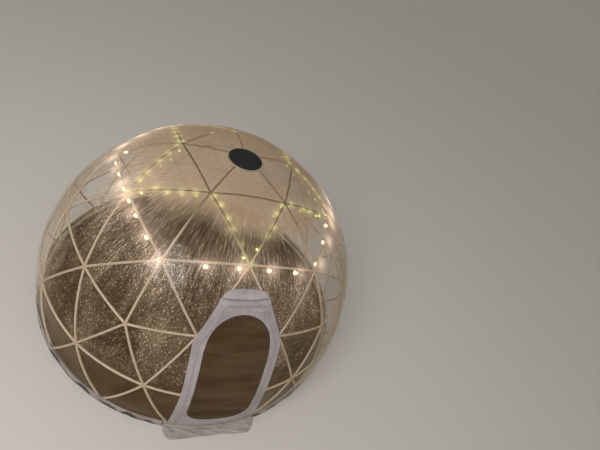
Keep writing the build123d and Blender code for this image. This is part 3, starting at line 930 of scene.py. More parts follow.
@dataclass
class Lights:
    """The string of globe lamps round the second ring, and the fairy bulbs on the thin wire."""

    dome: Dome
    rows: RowMaker
    globe: float = 0.022         # radius
    socket: float = 0.007
    fairy: float = 0.0115
    fairy_spacing: float = 0.128
    fairy_scatter: float = 0.026
    fairy_rings: int = 7
    fairy_sides: int = 10
    fairy_turn: int = 36         # degrees round the dome from one hub on the thin wire to the next
    fairy_steps: int = 12
    globe_sides: int = 24
    socket_sides: int = 16
    ribs: int = 5
    rib: tuple[float, float] = (1.1, 0.86)       # radius on a rib and between ribs, over the socket's

    def lamp_places(self) -> list[Vector]:
        """The middle of each globe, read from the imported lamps.

        Returns:
            The places, from left to right.
        """
        work = bmesh.new()
        work.from_mesh(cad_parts["festoon_lamps"].data)
        bmesh.ops.remove_doubles(work, verts=work.verts, dist=MERGE)
        left, places = set(work.verts), []
        while left:
            island, queue = set(), [left.pop()]
            while queue:
                v = queue.pop()
                island.add(v)
                around = {e.other_vert(v) for e in v.link_edges} & left
                left -= around
                queue += around
            low = [min(v.co[k] for v in island) for k in range(3)]
            high = [max(v.co[k] for v in island) for k in range(3)]
            places.append(Vector(((low[0] + high[0]) / 2, (low[1] + high[1]) / 2, low[2] + self.globe)))
        work.free()
        return sorted(places, key=lambda p: (round(p.x, 4), round(p.y, 4)))

    def socket_profile(self, top: float) -> list[tuple[float, float]]:
        """Profile of a ribbed socket from the globe's neck up to its closed top.

        Args:
            top: its height over the globe's middle.

        Returns:
            Radius and height of each ring.
        """
        low = self.globe * 0.8
        step = (top - low - self.socket) / (2 * self.ribs)
        wide, thin = (self.socket * share for share in self.rib)
        profile = [(0.0, low - 2 * MM), (wide, low - 2 * MM)]
        for k in range(self.ribs):
            profile += [(wide, low + 2 * k * step), (thin, low + (2 * k + 0.9) * step)]
        profile += [(self.socket, top - self.socket), (self.socket * 0.7, top - 0.3 * self.socket)]
        return profile + [(0.0, top)]

    @staticmethod
    def repeated(shape: tuple[Points, Points], places: list[Vector]) -> tuple[Points, Points]:
        """Copies of a shape at each place, as one mesh.

        Args:
            shape: its points and faces.
            places: of the copies.

        Returns:
            The mesh's points and faces.
        """
        points, faces = shape
        return (np.concatenate([points + np.array(p) for p in places]),
                np.concatenate([faces + k * len(points) for k in range(len(places))]))

    def fairy_path(self) -> Points:
        """The thin wire's zigzag between the first and second rings, inside the tubes.

        Returns:
            Points along it.
        """
        share = 1 - (self.dome.tube + 2 * self.fairy) / self.dome.radius
        names = [self.dome.near(1 + k % 2, a) for k, a in enumerate(range(-180, 180, self.fairy_turn))]
        path = []
        for a, b in zip(names, names[1:]):
            p, q = self.dome.hubs[a], self.dome.hubs[b]
            path += [p.slerp(q, t) for t in np.linspace(0, 1, self.fairy_steps)[:-1]]
        return np.array([self.dome.centre + p * self.dome.radius * share for p in path])

    def build(self) -> tuple[Points, Points]:
        """Makes the lamps and bulbs.

        Returns:
            The middle of each globe and of each bulb.
        """
        places = self.lamp_places()
        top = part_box("festoon_lamps")[1].z - max(p.z for p in places)
        globes = self.repeated(lathe(ball(self.globe, self.globe_sides // 2), self.globe_sides), places)
        settle(new_piece("lamp_globes", *globes, GLOBES, self.dome.centre), "lamp_globe", "festoon_lamps")
        sockets = self.repeated(lathe(self.socket_profile(top), self.socket_sides), places)
        settle(new_piece("lamp_sockets", *sockets, SOCKETS, self.dome.centre), "wire")
        bulb = lathe(ball(self.fairy, self.fairy_rings, squash=1.15), self.fairy_sides)
        row = self.rows.lay("fairy_bulbs", [self.fairy_path()], bulb, self.fairy_spacing, FAIRY,
                            self.fairy_scatter)
        settle(row, "fairy_wire")
        corners = np.zeros(3 * len(row.data.vertices))
        row.data.vertices.foreach_get("co", corners)
        each = 2 + (self.fairy_rings - 2) * self.fairy_sides
        return np.array(places), corners.reshape(-1, each, 3).mean(axis=1)


@dataclass
class DoorLines:
    """Outlines of the door's sheets as seen from the front, the same on both sides."""

    dome: Dome
    band: float = 104 * MM       # white band round the window, surround and door together
    hood: float = 169 * MM       # the same band at the top
    half: float = 410 * MM
    foot_half: float = 431 * MM
    crown_half: float = 235 * MM
    shoulder_drop: float = 22 * MM
    top_rise: float = 379 * MM
    spring_rise: float = 281 * MM
    ease: float = 32 * MM        # over which the outlines round their bends
    square: float = 0.8          # below 1, the hood's top is squarer than an ellipse
    sole: float = 1.3 * MM
    window_foot: float = 228 * MM
    window_corner: float = 175 * MM
    window_crown_half: float = 296 * MM
    window_shoulder_drop: float = 90 * MM
    window_spring_rise: float = -62 * MM
    arch_steps: int = 40
    fine_steps: int = 400        # of the line before its bends are rounded
    foot_steps: int = 16
    side_steps: int = 46
    hood_steps: int = 70

    def trace(self, half: float, crown_half: float, levels: tuple[float, float, float], foot: Points,
              flare: float = 0.0, square: float = 1.0) -> Points:
        """One side of an arch, from the end of its foot up to the middle of its top.

        Args:
            half: half width below the shoulder.
            crown_half: half width where the top starts.
            levels: heights of the shoulder, where it leans in, and of the top's start and end.
            foot: places up to the window's straight side, from the lowest up.
            flare: how much wider it is at the sole than above the joints of the posts.
            square: below 1, the top is squarer than an ellipse.

        Returns:
            Places seen from the front, as many for every outline.
        """
        shoulder, spring, top = levels
        turn = np.linspace(0, math.pi / 2, self.arch_steps)
        over = stacked(crown_half * np.cos(turn) ** square, spring + (top - spring) * np.sin(turn) ** square)
        start = shoulder - 4 * self.ease
        rise = self.even(np.array([(half, start), (half, shoulder), *over]), self.fine_steps)
        side = self.side_at(half, flare, np.linspace(foot[-1][1], start, self.side_steps))
        return np.concatenate([foot[:-1], side[:-1], self.even(self.eased(rise), self.hood_steps)])

    def eased(self, line: Points) -> Points:
        """A line with its bends rounded, which starts upright and ends level at the middle.

        Args:
            line: with its points evenly spaced.

        Returns:
            As many points, rounded.
        """
        step = float(np.linalg.norm(line[1] - line[0]))
        reach = int(3 * self.ease / step)
        weight = np.exp(-0.5 * (np.arange(-reach, reach + 1) * step / self.ease) ** 2)
        below = line[0] - np.arange(reach, 0, -1)[:, None] * (0, step)
        whole = np.concatenate([below, line, line[-2:-2 - reach:-1] * (-1, 1)])
        return np.stack([np.convolve(whole[:, k], weight / weight.sum(), "valid") for k in (0, 1)], axis=1)

    def side_at(self, half: float, flare: float, height: Points) -> Points:
        """Places on a side at some heights, wider below the joints of the posts by up to the flare."""
        share = np.clip((self.dome.joint - height) / (self.dome.joint - self.sole), 0, 1)
        return stacked(half + flare * share, height)

    @staticmethod
    def even(line: Points, count: int) -> Points:
        """The same line with its points evenly spaced.

        Args:
            line: the line.
            count: of its new points.

        Returns:
            The new points.
        """
        far = length_along(line)
        want = np.linspace(0, far[-1], count)
        return np.stack([np.interp(want, far, line[:, k]) for k in (0, 1)], axis=1)

    def band_line(self, inset: float) -> Points:
        """One side of the surround's outline, drawn in by an inset.

        Args:
            inset: from the outer edge.

        Returns:
            Places seen from the front.
        """
        head, hood = self.dome.head, inset * self.hood / self.band
        half, flare = self.half - inset, (self.foot_half - self.half) * max(0.0, 1 - 2 * inset / self.band)
        heights = np.linspace(self.sole, self.window_foot + self.window_corner, self.foot_steps)
        foot = self.side_at(half, flare, heights)
        levels = (head - self.shoulder_drop - hood * 0.25, head + self.spring_rise - hood,
                  head + self.top_rise - hood)
        square = self.square + (1 - self.square) * inset / self.band
        return self.trace(half, self.crown_half - inset * 0.4, levels, foot, flare, square)

    def window_line(self, lap: float = 0.0) -> Points:
        """One side of the window's outline, from the end of its flat foot, with a lap behind its edge.

        Args:
            lap: how far it reaches past the edge.

        Returns:
            Places seen from the front.
        """
        head, half, low = self.dome.head, self.half - self.band + lap, self.window_foot - lap
        turn, corner = np.linspace(-math.pi / 2, 0, self.foot_steps), self.window_corner
        foot = stacked(half + corner * (np.cos(turn) - 1), low + corner * (np.sin(turn) + 1))
        levels = (head - self.window_shoulder_drop + lap / 2, head + self.window_spring_rise + lap,
                  head + self.top_rise - self.hood + lap)
        return self.trace(half, self.window_crown_half + lap / 2, levels, foot)

    @staticmethod
    def both_sides(line: Points) -> Points:
        """A whole arch from one side of it, from the left foot over to the right one."""
        return np.concatenate([line * (-1, 1), line[-2::-1]])

    def depth_inside(self, x: Points, z: Points, inset: float) -> tuple[Points, Points, Points]:
        """How far places lie inside the surround's outline, drawn in by an inset.

        Args:
            x, z: places seen from the front.
            inset: from the outer edge.

        Returns:
            The depth, below 0 outside, and the nearest place on the outline.
        """
        line = self.both_sides(self.band_line(inset))
        line = np.concatenate([line[:1] * (1, 0) - (0, 1), line, line[-1:] * (1, 0) - (0, 1)])
        a, b = line[:-1], line[1:]
        p = stacked(x, z)[:, None, :]
        share = np.clip(((p - a) * (b - a)).sum(-1) / ((b - a) ** 2).sum(-1), 0, 1)
        spot = a + share[..., None] * (b - a)
        gap = np.linalg.norm(p - spot, axis=-1)
        best = (np.arange(len(p)), gap.argmin(axis=1))
        near, way = spot[best], (b - a)[best[1]]
        off = p[:, 0, :] - near
        inside = way[:, 1] * off[:, 0] - way[:, 0] * off[:, 1] > 0
        return np.where(inside, gap[best], -gap[best]), near[:, 0], near[:, 1]


@dataclass
class Cover:
    """One continuous skin of clear film, taut over the tubes and a little slack between them."""

    dome: Dome
    lines: DoorLines
    lamps: Points
    bulbs: Points
    cells: int = 36              # rows of the mesh from one tube to the opposite hub
    grading: float = 1.6         # above 1, the rows are closer beside the tubes
    thickness: float = 0.5 * MM
    lift: float = 0.3 * MM       # clearance over the tubes
    slack: float = 8 * MM        # how far the film falls in between tubes
    slack_reach: float = 0.11
    fold: float = 2.5 * MM
    fold_width: float = 0.075
    fold_length: float = 0.55
    tuck: float = 22 * MM        # the film's edge under the door's surround
    vent_radius: float = 0.180
    vent_shift: float = -0.030
    lamp_halo: tuple[float, float, float] = (0.072, 0.62, 0.10)    # reach, strength, strength of the wide one
    bulb_halo: tuple[float, float, float] = (0.030, 0.42, 0.04)
    brightest: float = 0.8
    ground_gap: float = 2 * MM
    flat_area: float = 22.9      # the sphere above the ground, less the vent and the doorway

    def __post_init__(self) -> None:
        """Works out the film's outer face."""
        self.outside = self.dome.tube + self.lift + self.thickness

    def facet(self, names: tuple[tuple[int, int], ...]) -> tuple[Points, Points, Points]:
        """The film between three tubes.

        Args:
            names: of the three hubs.

        Returns:
            Directions from the dome's centre, the distance of each to its nearest tube, and faces.
        """
        n = self.cells
        steps = [(i, j, n - i - j) for i in range(n + 1) for j in range(n + 1 - i)]
        place = {s: k for k, s in enumerate(steps)}
        corners = np.array([self.dome.hubs[name] for name in names])
        ways = (np.array(steps) / n) ** self.grading @ corners
        ways /= np.linalg.norm(ways, axis=1)[:, None]
        gap = np.full(len(ways), 1.0)
        for k in range(3):
            if {names[k - 1], names[k - 2]} != self.dome.open_edge:
                normal = np.cross(corners[k - 1], corners[k - 2])
                normal /= np.linalg.norm(normal)
                gap = np.minimum(gap, np.arcsin(np.clip(np.abs(ways @ normal), 0, 1)) * self.dome.radius)
        faces = []
        for i in range(n):
            for j in range(n - i):
                k = n - i - j
                faces.append((place[i, j, k], place[i + 1, j, k - 1], place[i, j + 1, k - 1]))
                if k > 1:
                    faces.append((place[i + 1, j, k - 1], place[i + 1, j + 1, k - 2], place[i, j + 1, k - 1]))
        return ways, gap, np.array(faces)

    def folded(self, ways: Points, gap: Points) -> Points:
        """Distance from the dome's centre of film in each direction, with its slack and its folds.

        Args:
            ways: the directions.
            gap: distance of each to its nearest tube.

        Returns:
            The distances.
        """
        slack = 1 - np.exp(-(gap / self.slack_reach) ** 2)
        level = stacked(ways[:, 0], ways[:, 1] - self.vent_shift / self.dome.radius)
        level /= np.maximum(np.linalg.norm(level, axis=1), 1e-6)[:, None]
        turns, rise = self.dome.radius / self.fold_width, self.dome.radius / self.fold_length
        fold = noise_at(level[:, 0] * turns, level[:, 1] * turns, ways[:, 2] * rise)
        return self.dome.radius + self.outside + slack * (fold * self.fold - self.slack)

    def glow(self, points: Points, lamps: Points, reach: float, close: float, wide: float) -> Points:
        """Painted glow of lamps on the film: a close halo over each, and one three times as wide.

        Args:
            points: on the film.
            lamps: the middle of each.
            reach: of the close halo.
            close, wide: strength of the halos.

        Returns:
            The painted glow at each point.
        """
        centre, light = np.array(self.dome.centre), np.zeros(len(points))
        for way in lamps - centre:
            over = centre + way * (self.dome.radius + self.outside) / np.linalg.norm(way)
            away = np.linalg.norm(points - over, axis=1) / reach
            light += close * np.exp(-away ** 2) + wide * np.exp(-(away / 3) ** 2)
        return np.minimum(light, self.brightest)

    def trimmed(self, there: Points) -> tuple[Points, Points]:
        """Moves the film in the vent and behind the door out to the edge of the opening.

        Args:
            there: points of a facet.

        Returns:
            The points, and which of them have moved.
        """
        arm = there[:, :2] - (0, self.vent_shift)
        gap = np.linalg.norm(arm, axis=1)
        moved = (gap < self.vent_radius) & (there[:, 2] > self.dome.centre.z)
        share = self.vent_radius / np.maximum(gap[moved], 1e-6)
        there[moved, :2] = (0, self.vent_shift) + arm[moved] * share[:, None]
        front = np.flatnonzero((there[:, 1] < 0) & (np.abs(there[:, 0]) < self.lines.foot_half))
        depth, x, z = self.lines.depth_inside(there[front, 0], there[front, 2], self.tuck)
        behind = depth > 0
        there[front[behind]] = self.dome.on_front(x[behind], z[behind], self.outside)
        moved[front[behind]] = True
        there[:, 2] = np.maximum(there[:, 2], self.ground_gap)
        return there, moved

    def build(self) -> None:
        """Makes the film, open at the vent and behind the door."""
        dome, points, faces, gaps, count = self.dome, [], [], [], 0
        for names in dome.facets:
            ways, gap, cells = self.facet(names)
            there, moved = self.trimmed(ways * self.folded(ways, gap)[:, None] + np.array(dome.centre))
            cells = cells[~moved[cells].all(axis=1)]
            if len(cells):
                points.append(there)
                gaps.append(gap)
                faces.append(cells + count)
                count += len(there)
        points, gaps = np.concatenate(points), np.concatenate(gaps)
        # Painted light: halos of glow round the lamps and bulbs, given off by the film.
        values = {"tube_gap": gaps, "lamp_glow": self.glow(points, self.lamps, *self.lamp_halo),
                  "fairy_glow": self.glow(points, self.bulbs, *self.bulb_halo)}
        film = new_piece("film_cover", points, np.concatenate(faces), FILM, dome.centre, values=values)
        settle(film, "clear_film", "cover_crown", "cover_upper", "cover_middle", "cover_lower",
               "cover_skirt", "door_side_panels", "door_head_panel")


@dataclass
class Vent:
    """The round screened vent at the crown, with its welded and stitched rim."""

    dome: Dome
    rows: RowMaker
    cover: Cover
    rim_width: float = 14 * MM
    rim_height: float = 1.5 * MM
    rim_seat: float = 0.3 * MM
    rim_thickness: float = 0.8 * MM
    stitch_rise: float = 1.8 * MM
    stitch_aside: float = 4 * MM
    stitch: tuple[float, float, float] = (5 * MM, 0.5 * MM, 7 * MM)      # length, radius and spacing
    sides: int = 120
    rings: int = 24

    def ring(self, radius: Points, outward: Points) -> Points:
        """Points of rings about the vent's axis, at distances outward from the tubes' line.

        Args:
            radius: of each ring.
            outward: of each ring.

        Returns:
            The points, ring by ring.
        """
        turn = np.linspace(0, math.tau, self.sides + 1)
        x, y = radius[:, None] * np.sin(turn), radius[:, None] * -np.cos(turn) + self.cover.vent_shift
        z = self.dome.centre.z + np.sqrt((self.dome.radius + outward[:, None]) ** 2 - x ** 2 - y ** 2)
        return stacked(x, y, z)

    def build(self) -> None:
        """Makes the screen, its rim and the rim's stitches."""
        cover, radius = self.cover, np.linspace(1 * MM, self.cover.vent_radius, self.rings)
        screen = self.ring(radius, np.full(len(radius), cover.outside))
        piece = new_piece("vent_screen", screen, grid_faces(len(radius), self.sides + 1), SCREEN,
                          self.dome.centre, cut=screen[..., :2])
        settle(piece, "vent_mesh", "vent_mesh")
        turn = np.linspace(0, math.pi, 9)
        profile = cover.vent_radius - np.cos(turn) * self.rim_width / 2
        rim = self.ring(profile, cover.outside + self.rim_seat + self.rim_height * np.sin(turn) ** 0.5)
        u = np.linspace(0, math.tau * cover.vent_radius, self.sides + 1)
        welded = new_piece("vent_rim_band", rim, grid_faces(len(profile), self.sides + 1), RIM,
                           self.dome.centre, cut=stacked(u, profile[:, None]))
        thicken(welded, self.rim_thickness)
        settle(welded, "white_sheet", "vent_rim")
        rise = np.array([cover.outside + self.stitch_rise])
        paths = [self.ring(np.array([cover.vent_radius + s * self.stitch_aside]), rise)[0] for s in (-1, 1)]
        self.rows.sew("vent_stitches", paths, self.stitch, "white_sheet")


@dataclass(frozen=True)
class Fold:
    """One crease of the white sheets, as seen from the front."""

    x: float
    z: float
    reach: float             # half its length
    depth: float             # outward
    width: float = 9 * MM
    tilt: float = 0.0


@dataclass
class Door:
    """The arched surround, the zipped door with its window, and the sill flap."""

    dome: Dome
    rows: RowMaker
    lines: DoorLines
    film: float = 0.5 * MM
    seat: float = 0.3 * MM
    sheet: float = 1.0 * MM
    surround_flat: float = 0.12  # width of the surround's flat cut
    zip_gap: float = 5 * MM
    zip_width: float = 16 * MM
    zip_height: float = 1.6 * MM
    tape_share: float = 1.8      # width of the whole tape over what shows
    window_lap: float = 12 * MM
    window_sag: float = 3 * MM
    window_wave: float = 4 * MM
    window_columns: int = 25
    sill_steps: int = 12
    slope_length: float = 1.06   # the dome's slope makes the window longer than it looks square on
    slope_area: float = 1.05
    piping: float = 7 * MM       # width of the bound edges
    piping_rise: float = 0.5 * MM
    folds: tuple[Fold, ...] = (
        Fold(0.01, 1.572, 0.24, 16 * MM, 15 * MM, 0.02), Fold(0.01, 1.524, 0.22, 9 * MM, 14 * MM, 0.02),
        Fold(0.13, 1.483, 0.12, 8 * MM, 10 * MM, -0.12), Fold(0.34, 1.285, 0.12, 4 * MM, 10 * MM, 0.25),
        Fold(0.34, 1.252, 0.12, 5 * MM, 10 * MM, 0.25), Fold(-0.33, 1.12, 0.12, 3 * MM, 12 * MM, -0.3),
        Fold(-0.36, 0.52, 0.12, 3 * MM, 12 * MM, 0.5), Fold(0.37, 0.66, 0.12, 3 * MM, 12 * MM, 0.4),
        Fold(-0.1, 0.12, 0.25, 4 * MM, 14 * MM, 0.12), Fold(0.2, 0.07, 0.2, 5 * MM, 12 * MM, -0.1))
    wander: float = 1.5 * MM     # of the sheets between the folds
    dark_depth: float = 16 * MM  # a fold this deep has full painted shade below it all along
    seam: float = 9 * MM         # from a bound edge to its stitches
    stitch: tuple[float, float, float] = (7 * MM, 0.6 * MM, 10 * MM)     # length, radius and spacing
    stitch_seat: float = 0.2 * MM
    tooth_pitch: float = 5 * MM  # drawn wider apart than real teeth, so that they show
    tooth: tuple[float, float, float] = (1.8 * MM, 3.2 * MM, 1.1 * MM)
    tooth_seat: float = 0.4 * MM
    flap_reach: float = 0.162
    flap_side: float = 0.039
    flap_corner: float = 0.065
    flap_ragged: float = 12 * MM
    flap_lap: float = 34 * MM    # how far up the door's foot it reaches
    flap_turn: float = 0.26      # share of its depth by which it is down on the ground
    flap_seat: float = 3 * MM    # it clears the zip below it
    flap_sole: float = 1.2 * MM
    flap_soft: float = 11 * MM   # height of its soft waves
    flap_ridge: float = 13 * MM  # height of its sharp creases
    flap_share: float = 0.9      # of its flat oblong, as the corners are cut
    flap_columns: int = 130
    flap_rows: int = 36

    def __post_init__(self) -> None:
        """Works out the layers, outward from the tubes' line."""
        self.inside = self.dome.tube + self.seat + self.film + self.seat
        self.outside = self.inside + self.sheet

    def creases(self, x: Points, z: Points) -> Points:
        """How far the white sheets stand out or fall in at places seen from the front.

        Args:
            x, z: the places.

        Returns:
            The distance outward.
        """
        rise = np.zeros(x.shape)
        for fold in self.folds:
            along = np.exp(-((x - fold.x) / fold.reach) ** 4)
            rise += along * fold.depth * np.exp(-((z - fold.z - fold.tilt * (x - fold.x)) / fold.width) ** 2)
        wander = noise_at(x * 6, 0.0, z * 3.5) + 0.5 * noise_at(x * 19, 3.0, z * 9)
        return np.maximum(rise + wander * self.wander, 0.0)

    def dirt_and_painted_shade(self, x: Points, z: Points) -> Points:
        """Painted shade on the sheets at places seen from the front, just below each deep fold.

        Args:
            x, z: the places.

        Returns:
            The darkness, up to 0.8.
        """
        dark = np.zeros(x.shape)
        for fold in self.folds:
            under = z - fold.z - fold.tilt * (x - fold.x) + fold.width
            line = np.exp(-((x - fold.x) / fold.reach) ** 4 - (under / (0.45 * fold.width)) ** 2)
            dark = np.maximum(dark, line * (fold.depth / self.dark_depth) ** 2)
        return 0.8 * dark

    def band(self, name: str, outer: Points, inner: Points, rows: int, piped: bool, finish: Finish,
             base: float) -> bpy.types.Object:
        """A strip of sheet on the dome between two lines with as many points.

        Args:
            name: of the piece.
            outer, inner: the lines, seen from the front.
            rows: of the mesh, across the strip.
            piped: whether its edges are bound.
            finish: of the sheet.
            base: its outer face, outward from the tubes' line.

        Returns:
            The piece.
        """
        share = np.linspace(0, 1, rows)
        share = (share + 0.5 - 0.5 * np.cos(math.pi * share)) / 2
        spot = outer[None] + share[:, None, None] * (inner - outer)[None]
        x, z = spot[..., 0], spot[..., 1]
        width = np.linalg.norm(inner - outer, axis=1)
        edge = np.minimum(share[:, None], 1 - share[:, None]) * width[None]
        lift = self.piping_rise * np.exp(-(edge / self.piping) ** 4) * piped
        points = self.dome.on_front(x, z, base + lift + self.creases(x, z))
        cut = stacked(length_along((outer + inner) / 2)[None], share[:, None] * width[None])
        # The vertex attribute set here is painted shade just below the folds.
        piece = new_piece(name, points, grid_faces(rows, len(outer)), finish, self.dome.centre, cut=cut,
                          values={"crease_dirt": self.dirt_and_painted_shade(x, z)})
        thicken(piece, self.sheet)
        return piece

    def strip_area(self, outer: Points, inner: Points) -> float:
        """Area between two lines, seen square on, with the dome's slope added back.

        Args:
            outer, inner: the lines, seen from the front.

        Returns:
            Square metres.
        """
        points = [self.dome.on_front(line[:, 0], line[:, 1], self.outside) for line in (outer, inner)]
        a, b, c, d = points[0][:-1], points[0][1:], points[1][1:], points[1][:-1]
        return float((np.linalg.norm(np.cross(b - a, c - a), axis=1)
                      + np.linalg.norm(np.cross(c - a, d - a), axis=1)).sum() / 2)

    def build_surround(self) -> None:
        """The fixed sheet round the door, with bound edges and two rows of stitches."""
        lines, inset = self.lines, (self.lines.band - self.zip_gap) / 2
        outer, inner = (lines.both_sides(lines.band_line(d)) for d in (0.0, inset))
        piece = self.band("door_surround_band", outer, inner, rows=20, piped=True, finish=BAND,
                          base=self.outside)
        self.strip_area(outer, inner)
        settle(piece, "white_sheet", "door_surround")
        paths = []
        for d in (self.seam, inset - self.seam):
            x, z = lines.both_sides(lines.band_line(d))[1:-1].T
            paths.append(self.dome.on_front(x, z, self.outside + self.stitch_seat + self.creases(x, z)))
        self.rows.sew("surround_stitches", paths, self.stitch, "white_sheet")

    def panel_lines(self) -> tuple[Points, Points]:
        """The door's outer edge and its window's edge, all round, point for point.

        Returns:
            Both lines, seen from the front.
        """
        lines, whole = self.lines, []
        for line in (lines.band_line((lines.band + self.zip_gap) / 2), lines.window_line()):
            foot = np.linspace((0.0, line[0, 1]), line[0], self.sill_steps)[:-1]
            side = np.concatenate([foot, line])
            whole.append(np.concatenate([side, side[-2::-1] * (-1, 1)]))
        return whole[0], whole[1]

    def build_panel(self) -> None:
        """The door's own sheet, from the zip to the window."""
        outer, inner = self.panel_lines()
        piece = self.band("door_panel_sheet", outer, inner, rows=16, piped=True, finish=BAND,
                          base=self.outside)
        self.strip_area(outer, inner)
        settle(piece, "white_sheet", "door_panel")

    def build_window(self) -> None:
        """The clear sheet behind the window's opening."""
        line = self.lines.window_line(self.window_lap)
        base = self.dome.tube + self.seat + self.film
        share = np.linspace(-1, 1, self.window_columns)
        x, z = line[:, 0][:, None] * share, np.repeat(line[:, 1][:, None], len(share), axis=1)
        free = (1 - share ** 2)[None] * np.minimum(1, (z - z.min()) * 4)
        sag = self.window_sag + self.window_wave * np.abs(noise_at(x * 3, 9.0, z * 5))
        points = self.dome.on_front(x, z, base - free * sag)
        piece = new_piece("door_window_sheet", points, grid_faces(len(line), len(share)), WINDOW,
                          self.dome.centre, cut=stacked(x, z))
        settle(piece, "clear_film", "door_window")

    def build_zip(self) -> None:
        """The zip's tape with its coil of teeth."""
        lines = self.lines
        outer, inner = (lines.both_sides(lines.band_line((lines.band + s * self.zip_width) / 2))
                        for s in (-1, 1))
        top = self.outside + self.seat + self.zip_height * 0.6
        piece = self.band("zip_tape", outer, inner, rows=6, piped=False, finish=TAPE, base=top)
        self.strip_area(outer, inner)
        settle(piece, "zip_tape", "door_zip")
        x, z = lines.both_sides(lines.band_line(lines.band / 2))[1:-1].T
        path = self.dome.on_front(x, z, top + self.tooth_seat + self.creases(x, z))
        points, faces = lathe(ball(1.0, 5), 8)
        row = self.rows.lay("zip_teeth", [path], (points * self.tooth, faces), self.tooth_pitch, TEETH)
        settle(row, "zip_tape")

    def build_flap(self) -> None:
        """The sill flap: it laps over the door's foot, turns outward and lies crumpled on the ground."""
        hub = self.dome.near(self.dome.base_ring, self.dome.foot_turn)
        foot = self.dome.centre.y + self.dome.hubs[hub].y * self.dome.radius
        half = self.lines.foot_half + self.flap_side
        x = np.linspace(-half, half, self.flap_columns)
        past = np.clip((np.abs(x) - self.lines.foot_half + self.flap_side) / (2 * self.flap_side), 0, 1)
        ragged = self.flap_ragged * (noise_at(x * 5, 1.0, 0.0) + 0.4 * noise_at(x * 17, 4.0, 0.0))
        front = foot - self.flap_reach + past ** 2 * (self.flap_reach - self.flap_corner) + ragged
        share = np.linspace(0, 1, self.flap_rows)[:, None]
        lap = self.flap_lap * (1 - np.clip(share / self.flap_turn, 0, 1)) ** 1.7
        rise = lap * (1 - 0.8 * past) + self.flap_sole
        back = self.dome.on_front(x[None], rise, self.outside + self.flap_seat)[..., 1]
        hold = 0.4 * self.flap_turn
        out = np.clip((share - hold) / (1 - hold), 0, 1) ** 1.25
        y = back + out * (front - back)
        soft, ridge = noise_at(x * 5, y * 14, 2.0), noise_at(x * 2.6, y * 19 + x * 4, 6.0)
        crumple = (self.flap_soft * np.maximum(soft, 0)
                   + self.flap_ridge * np.maximum(1 - 4.5 * np.abs(ridge), 0) ** 1.5)
        free = np.clip((out - 0.04) / 0.25, 0, 1) * np.clip((1.06 - out) / 0.3, 0, 1)
        points = stacked(x, y, rise + crumple * free)
        piece = new_piece("sill_flap_sheet", points, grid_faces(len(share), len(x)), SILL,
                          Vector((0, foot, -1)), cut=stacked(x, y))
        thicken(piece, self.sheet)
        settle(piece, "white_sheet", "sill_flap")

    def build(self) -> None:
        """Makes every sheet of the door."""
        self.build_surround()
        self.build_panel()
        self.build_window()
        self.build_zip()
        self.build_flap()


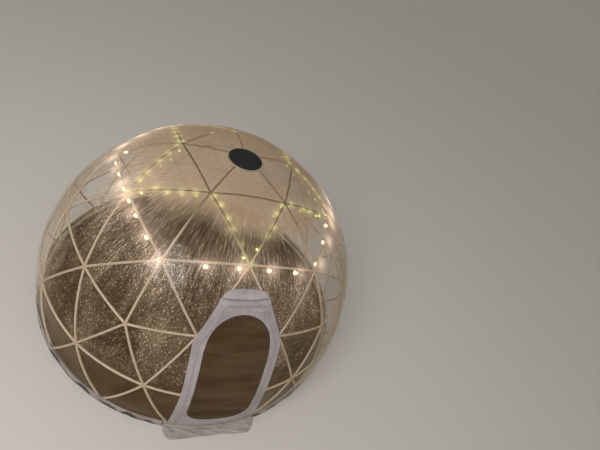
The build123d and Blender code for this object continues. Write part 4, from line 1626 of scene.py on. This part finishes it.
@dataclass
class Skirt:
    """The short hem round the foot of the film, wavy where it meets the ground."""

    dome: Dome
    rows: RowMaker
    film_outside: float
    rise: float = 78 * MM
    reach: float = 18 * MM
    door_half: float = 0.4703
    columns: int = 900
    rows_across: int = 15
    wave: float = 8 * MM
    wave_length: float = 0.19
    fine_wave: float = 3 * MM
    lifted: float = 26 * MM      # how far the edge stands off the ground at most
    sole: float = 1.2 * MM
    thickness: float = 1.0 * MM
    bound: float = 1.0 * MM      # how far its bound edges stand out
    bound_share: float = 0.16    # width of each, as a share of the hem's
    stitch_lift: float = 0.4 * MM
    stitch: tuple[float, float, float] = (9 * MM, 0.7 * MM, 16 * MM)     # length, radius and spacing
    stitch_shares: tuple[float, float] = (0.13, 0.87)
    shadow_scallop_length: float = 0.13    # from one scallop of painted shadow to the next
    shadow_scallop_edge: float = 0.66      # share of the way down where they start
    shadow_scallop_fade: float = 0.12
    shadow_scallop_depth: float = 0.95

    def line(self, share: float, lift: float = 0.0) -> tuple[Points, Points]:
        """Points of the hem at a share of the way down it.

        Args:
            share: 0 on the film, 1 on the ground.
            lift: outward from the sheet.

        Returns:
            The points, and how far round each one is, in metres.
        """
        inner = self.dome.ground_radius(self.film_outside, self.rise) + 0.4 * MM
        start = math.asin(self.door_half / inner)
        turn = np.linspace(start, math.tau - start, self.columns)
        x, y = np.sin(turn), np.cos(turn)
        ripple = noise_at(x * inner / self.wave_length, y * inner / self.wave_length, 4.0)
        waves = ripple * self.wave + noise_at(x * 40, y * 40, 8.0) * self.fine_wave
        radius = inner + self.reach * share ** 1.4 + waves * share - self.wave * share
        lifted = self.lifted * np.clip(noise_at(x * 7, y * 7, 1.0), 0, 1)
        height = self.rise * (1 - share) + self.sole + lifted * share
        bound = self.bound * sum(math.exp(-(s / self.bound_share) ** 4) for s in (share, 1 - share))
        radius = radius + bound + lift
        return stacked(x * radius, -y * radius, height), turn * inner

    def painted_shadow(self, points: Points, shares: Points) -> Points:
        """How dark the hem is: painted shadow stands in scallops along its lower edge, where it lifts off the
        ground.

        Args:
            points: of the hem.
            shares: of the way down it, row by row.

        Returns:
            The darkness of each point.
        """
        edge = noise_at(points[-1, :, 0] / self.shadow_scallop_length, points[-1, :, 1] / self.shadow_scallop_length, 3.0)
        past = shares[:, None] - self.shadow_scallop_edge + 0.9 * edge
        return self.shadow_scallop_depth * np.clip(past / self.shadow_scallop_fade, 0, 1)

    def build(self) -> None:
        """Makes the hem and its stitches."""
        shares = np.linspace(0, 1, self.rows_across)
        made = [self.line(s) for s in shares]
        points = np.stack([m[0] for m in made])
        depth = math.hypot(self.rise, self.reach)
        cut = stacked(made[0][1][None], shares[:, None] * depth)
        # The hem's lower edge darkens in scallops: painted shadow.
        piece = new_piece("hem_sheet", points, grid_faces(self.rows_across, self.columns), HEM,
                          self.dome.centre, cut=cut, values={"crease_dirt": self.painted_shadow(points, shares)})
        thicken(piece, self.thickness)
        settle(piece, "hem_sheet", "base_hem")
        paths = [self.line(s, self.stitch_lift)[0] for s in self.stitch_shares]
        self.rows.sew("hem_stitches", paths, self.stitch, "hem_sheet")


@dataclass
class FloorMat:
    """The round woven mat on the ground inside, with a bound edge and slight ripples."""

    dome: Dome
    thickness: float = 3 * MM
    ripple: float = 3 * MM
    ripple_edge: float = 0.2     # it lies flat toward its edge
    bound: float = 1.2 * MM      # height and width of its bound edge
    bound_width: float = 18 * MM
    sides: int = 160
    rings: int = 40

    def build(self) -> None:
        """Makes the mat."""
        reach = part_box("floor_mat")[1].x
        radius = reach * np.linspace(0.0005, 1, self.rings)
        turn = np.linspace(0, math.tau, self.sides + 1)
        x, y = radius[:, None] * np.cos(turn), radius[:, None] * np.sin(turn)
        flat = np.clip((reach - radius) / self.ripple_edge, 0, 1)[:, None]
        bound = self.bound * np.exp(-((reach - radius) / self.bound_width) ** 4)[:, None]
        z = self.thickness + self.ripple * np.maximum(noise_at(x * 2.2, y * 2.2, 0.0), 0) * flat + bound
        piece = new_piece("woven_floor_mat", stacked(x, y, z), grid_faces(self.rings, self.sides + 1), MAT,
                          Vector((0, 0, -1)), cut=stacked(x, y))
        thicken(piece, self.thickness - 0.5 * MM)
        settle(piece, "floor_mat", "floor_mat")


def main() -> None:
    """Builds the igloo's looks, class by class."""
    Studio().build()
    Tubework().dress()
    dome = Dome()
    rows = RowMaker(dome.centre)
    LOG.info("dome radius %.4f, centre %.4f, tube %.4f", dome.radius, dome.centre.z, dome.tube)
    lamps, bulbs = Lights(dome, rows).build()
    lines = DoorLines(dome)
    cover = Cover(dome, lines, lamps, bulbs)
    cover.build()
    Vent(dome, rows, cover).build()
    Door(dome, rows, lines).build()
    Skirt(dome, rows, cover.outside).build()
    FloorMat(dome).build()


if __name__ == "__main__":
    logging.basicConfig(level=logging.INFO, format="%(name)s: %(message)s")
    main()
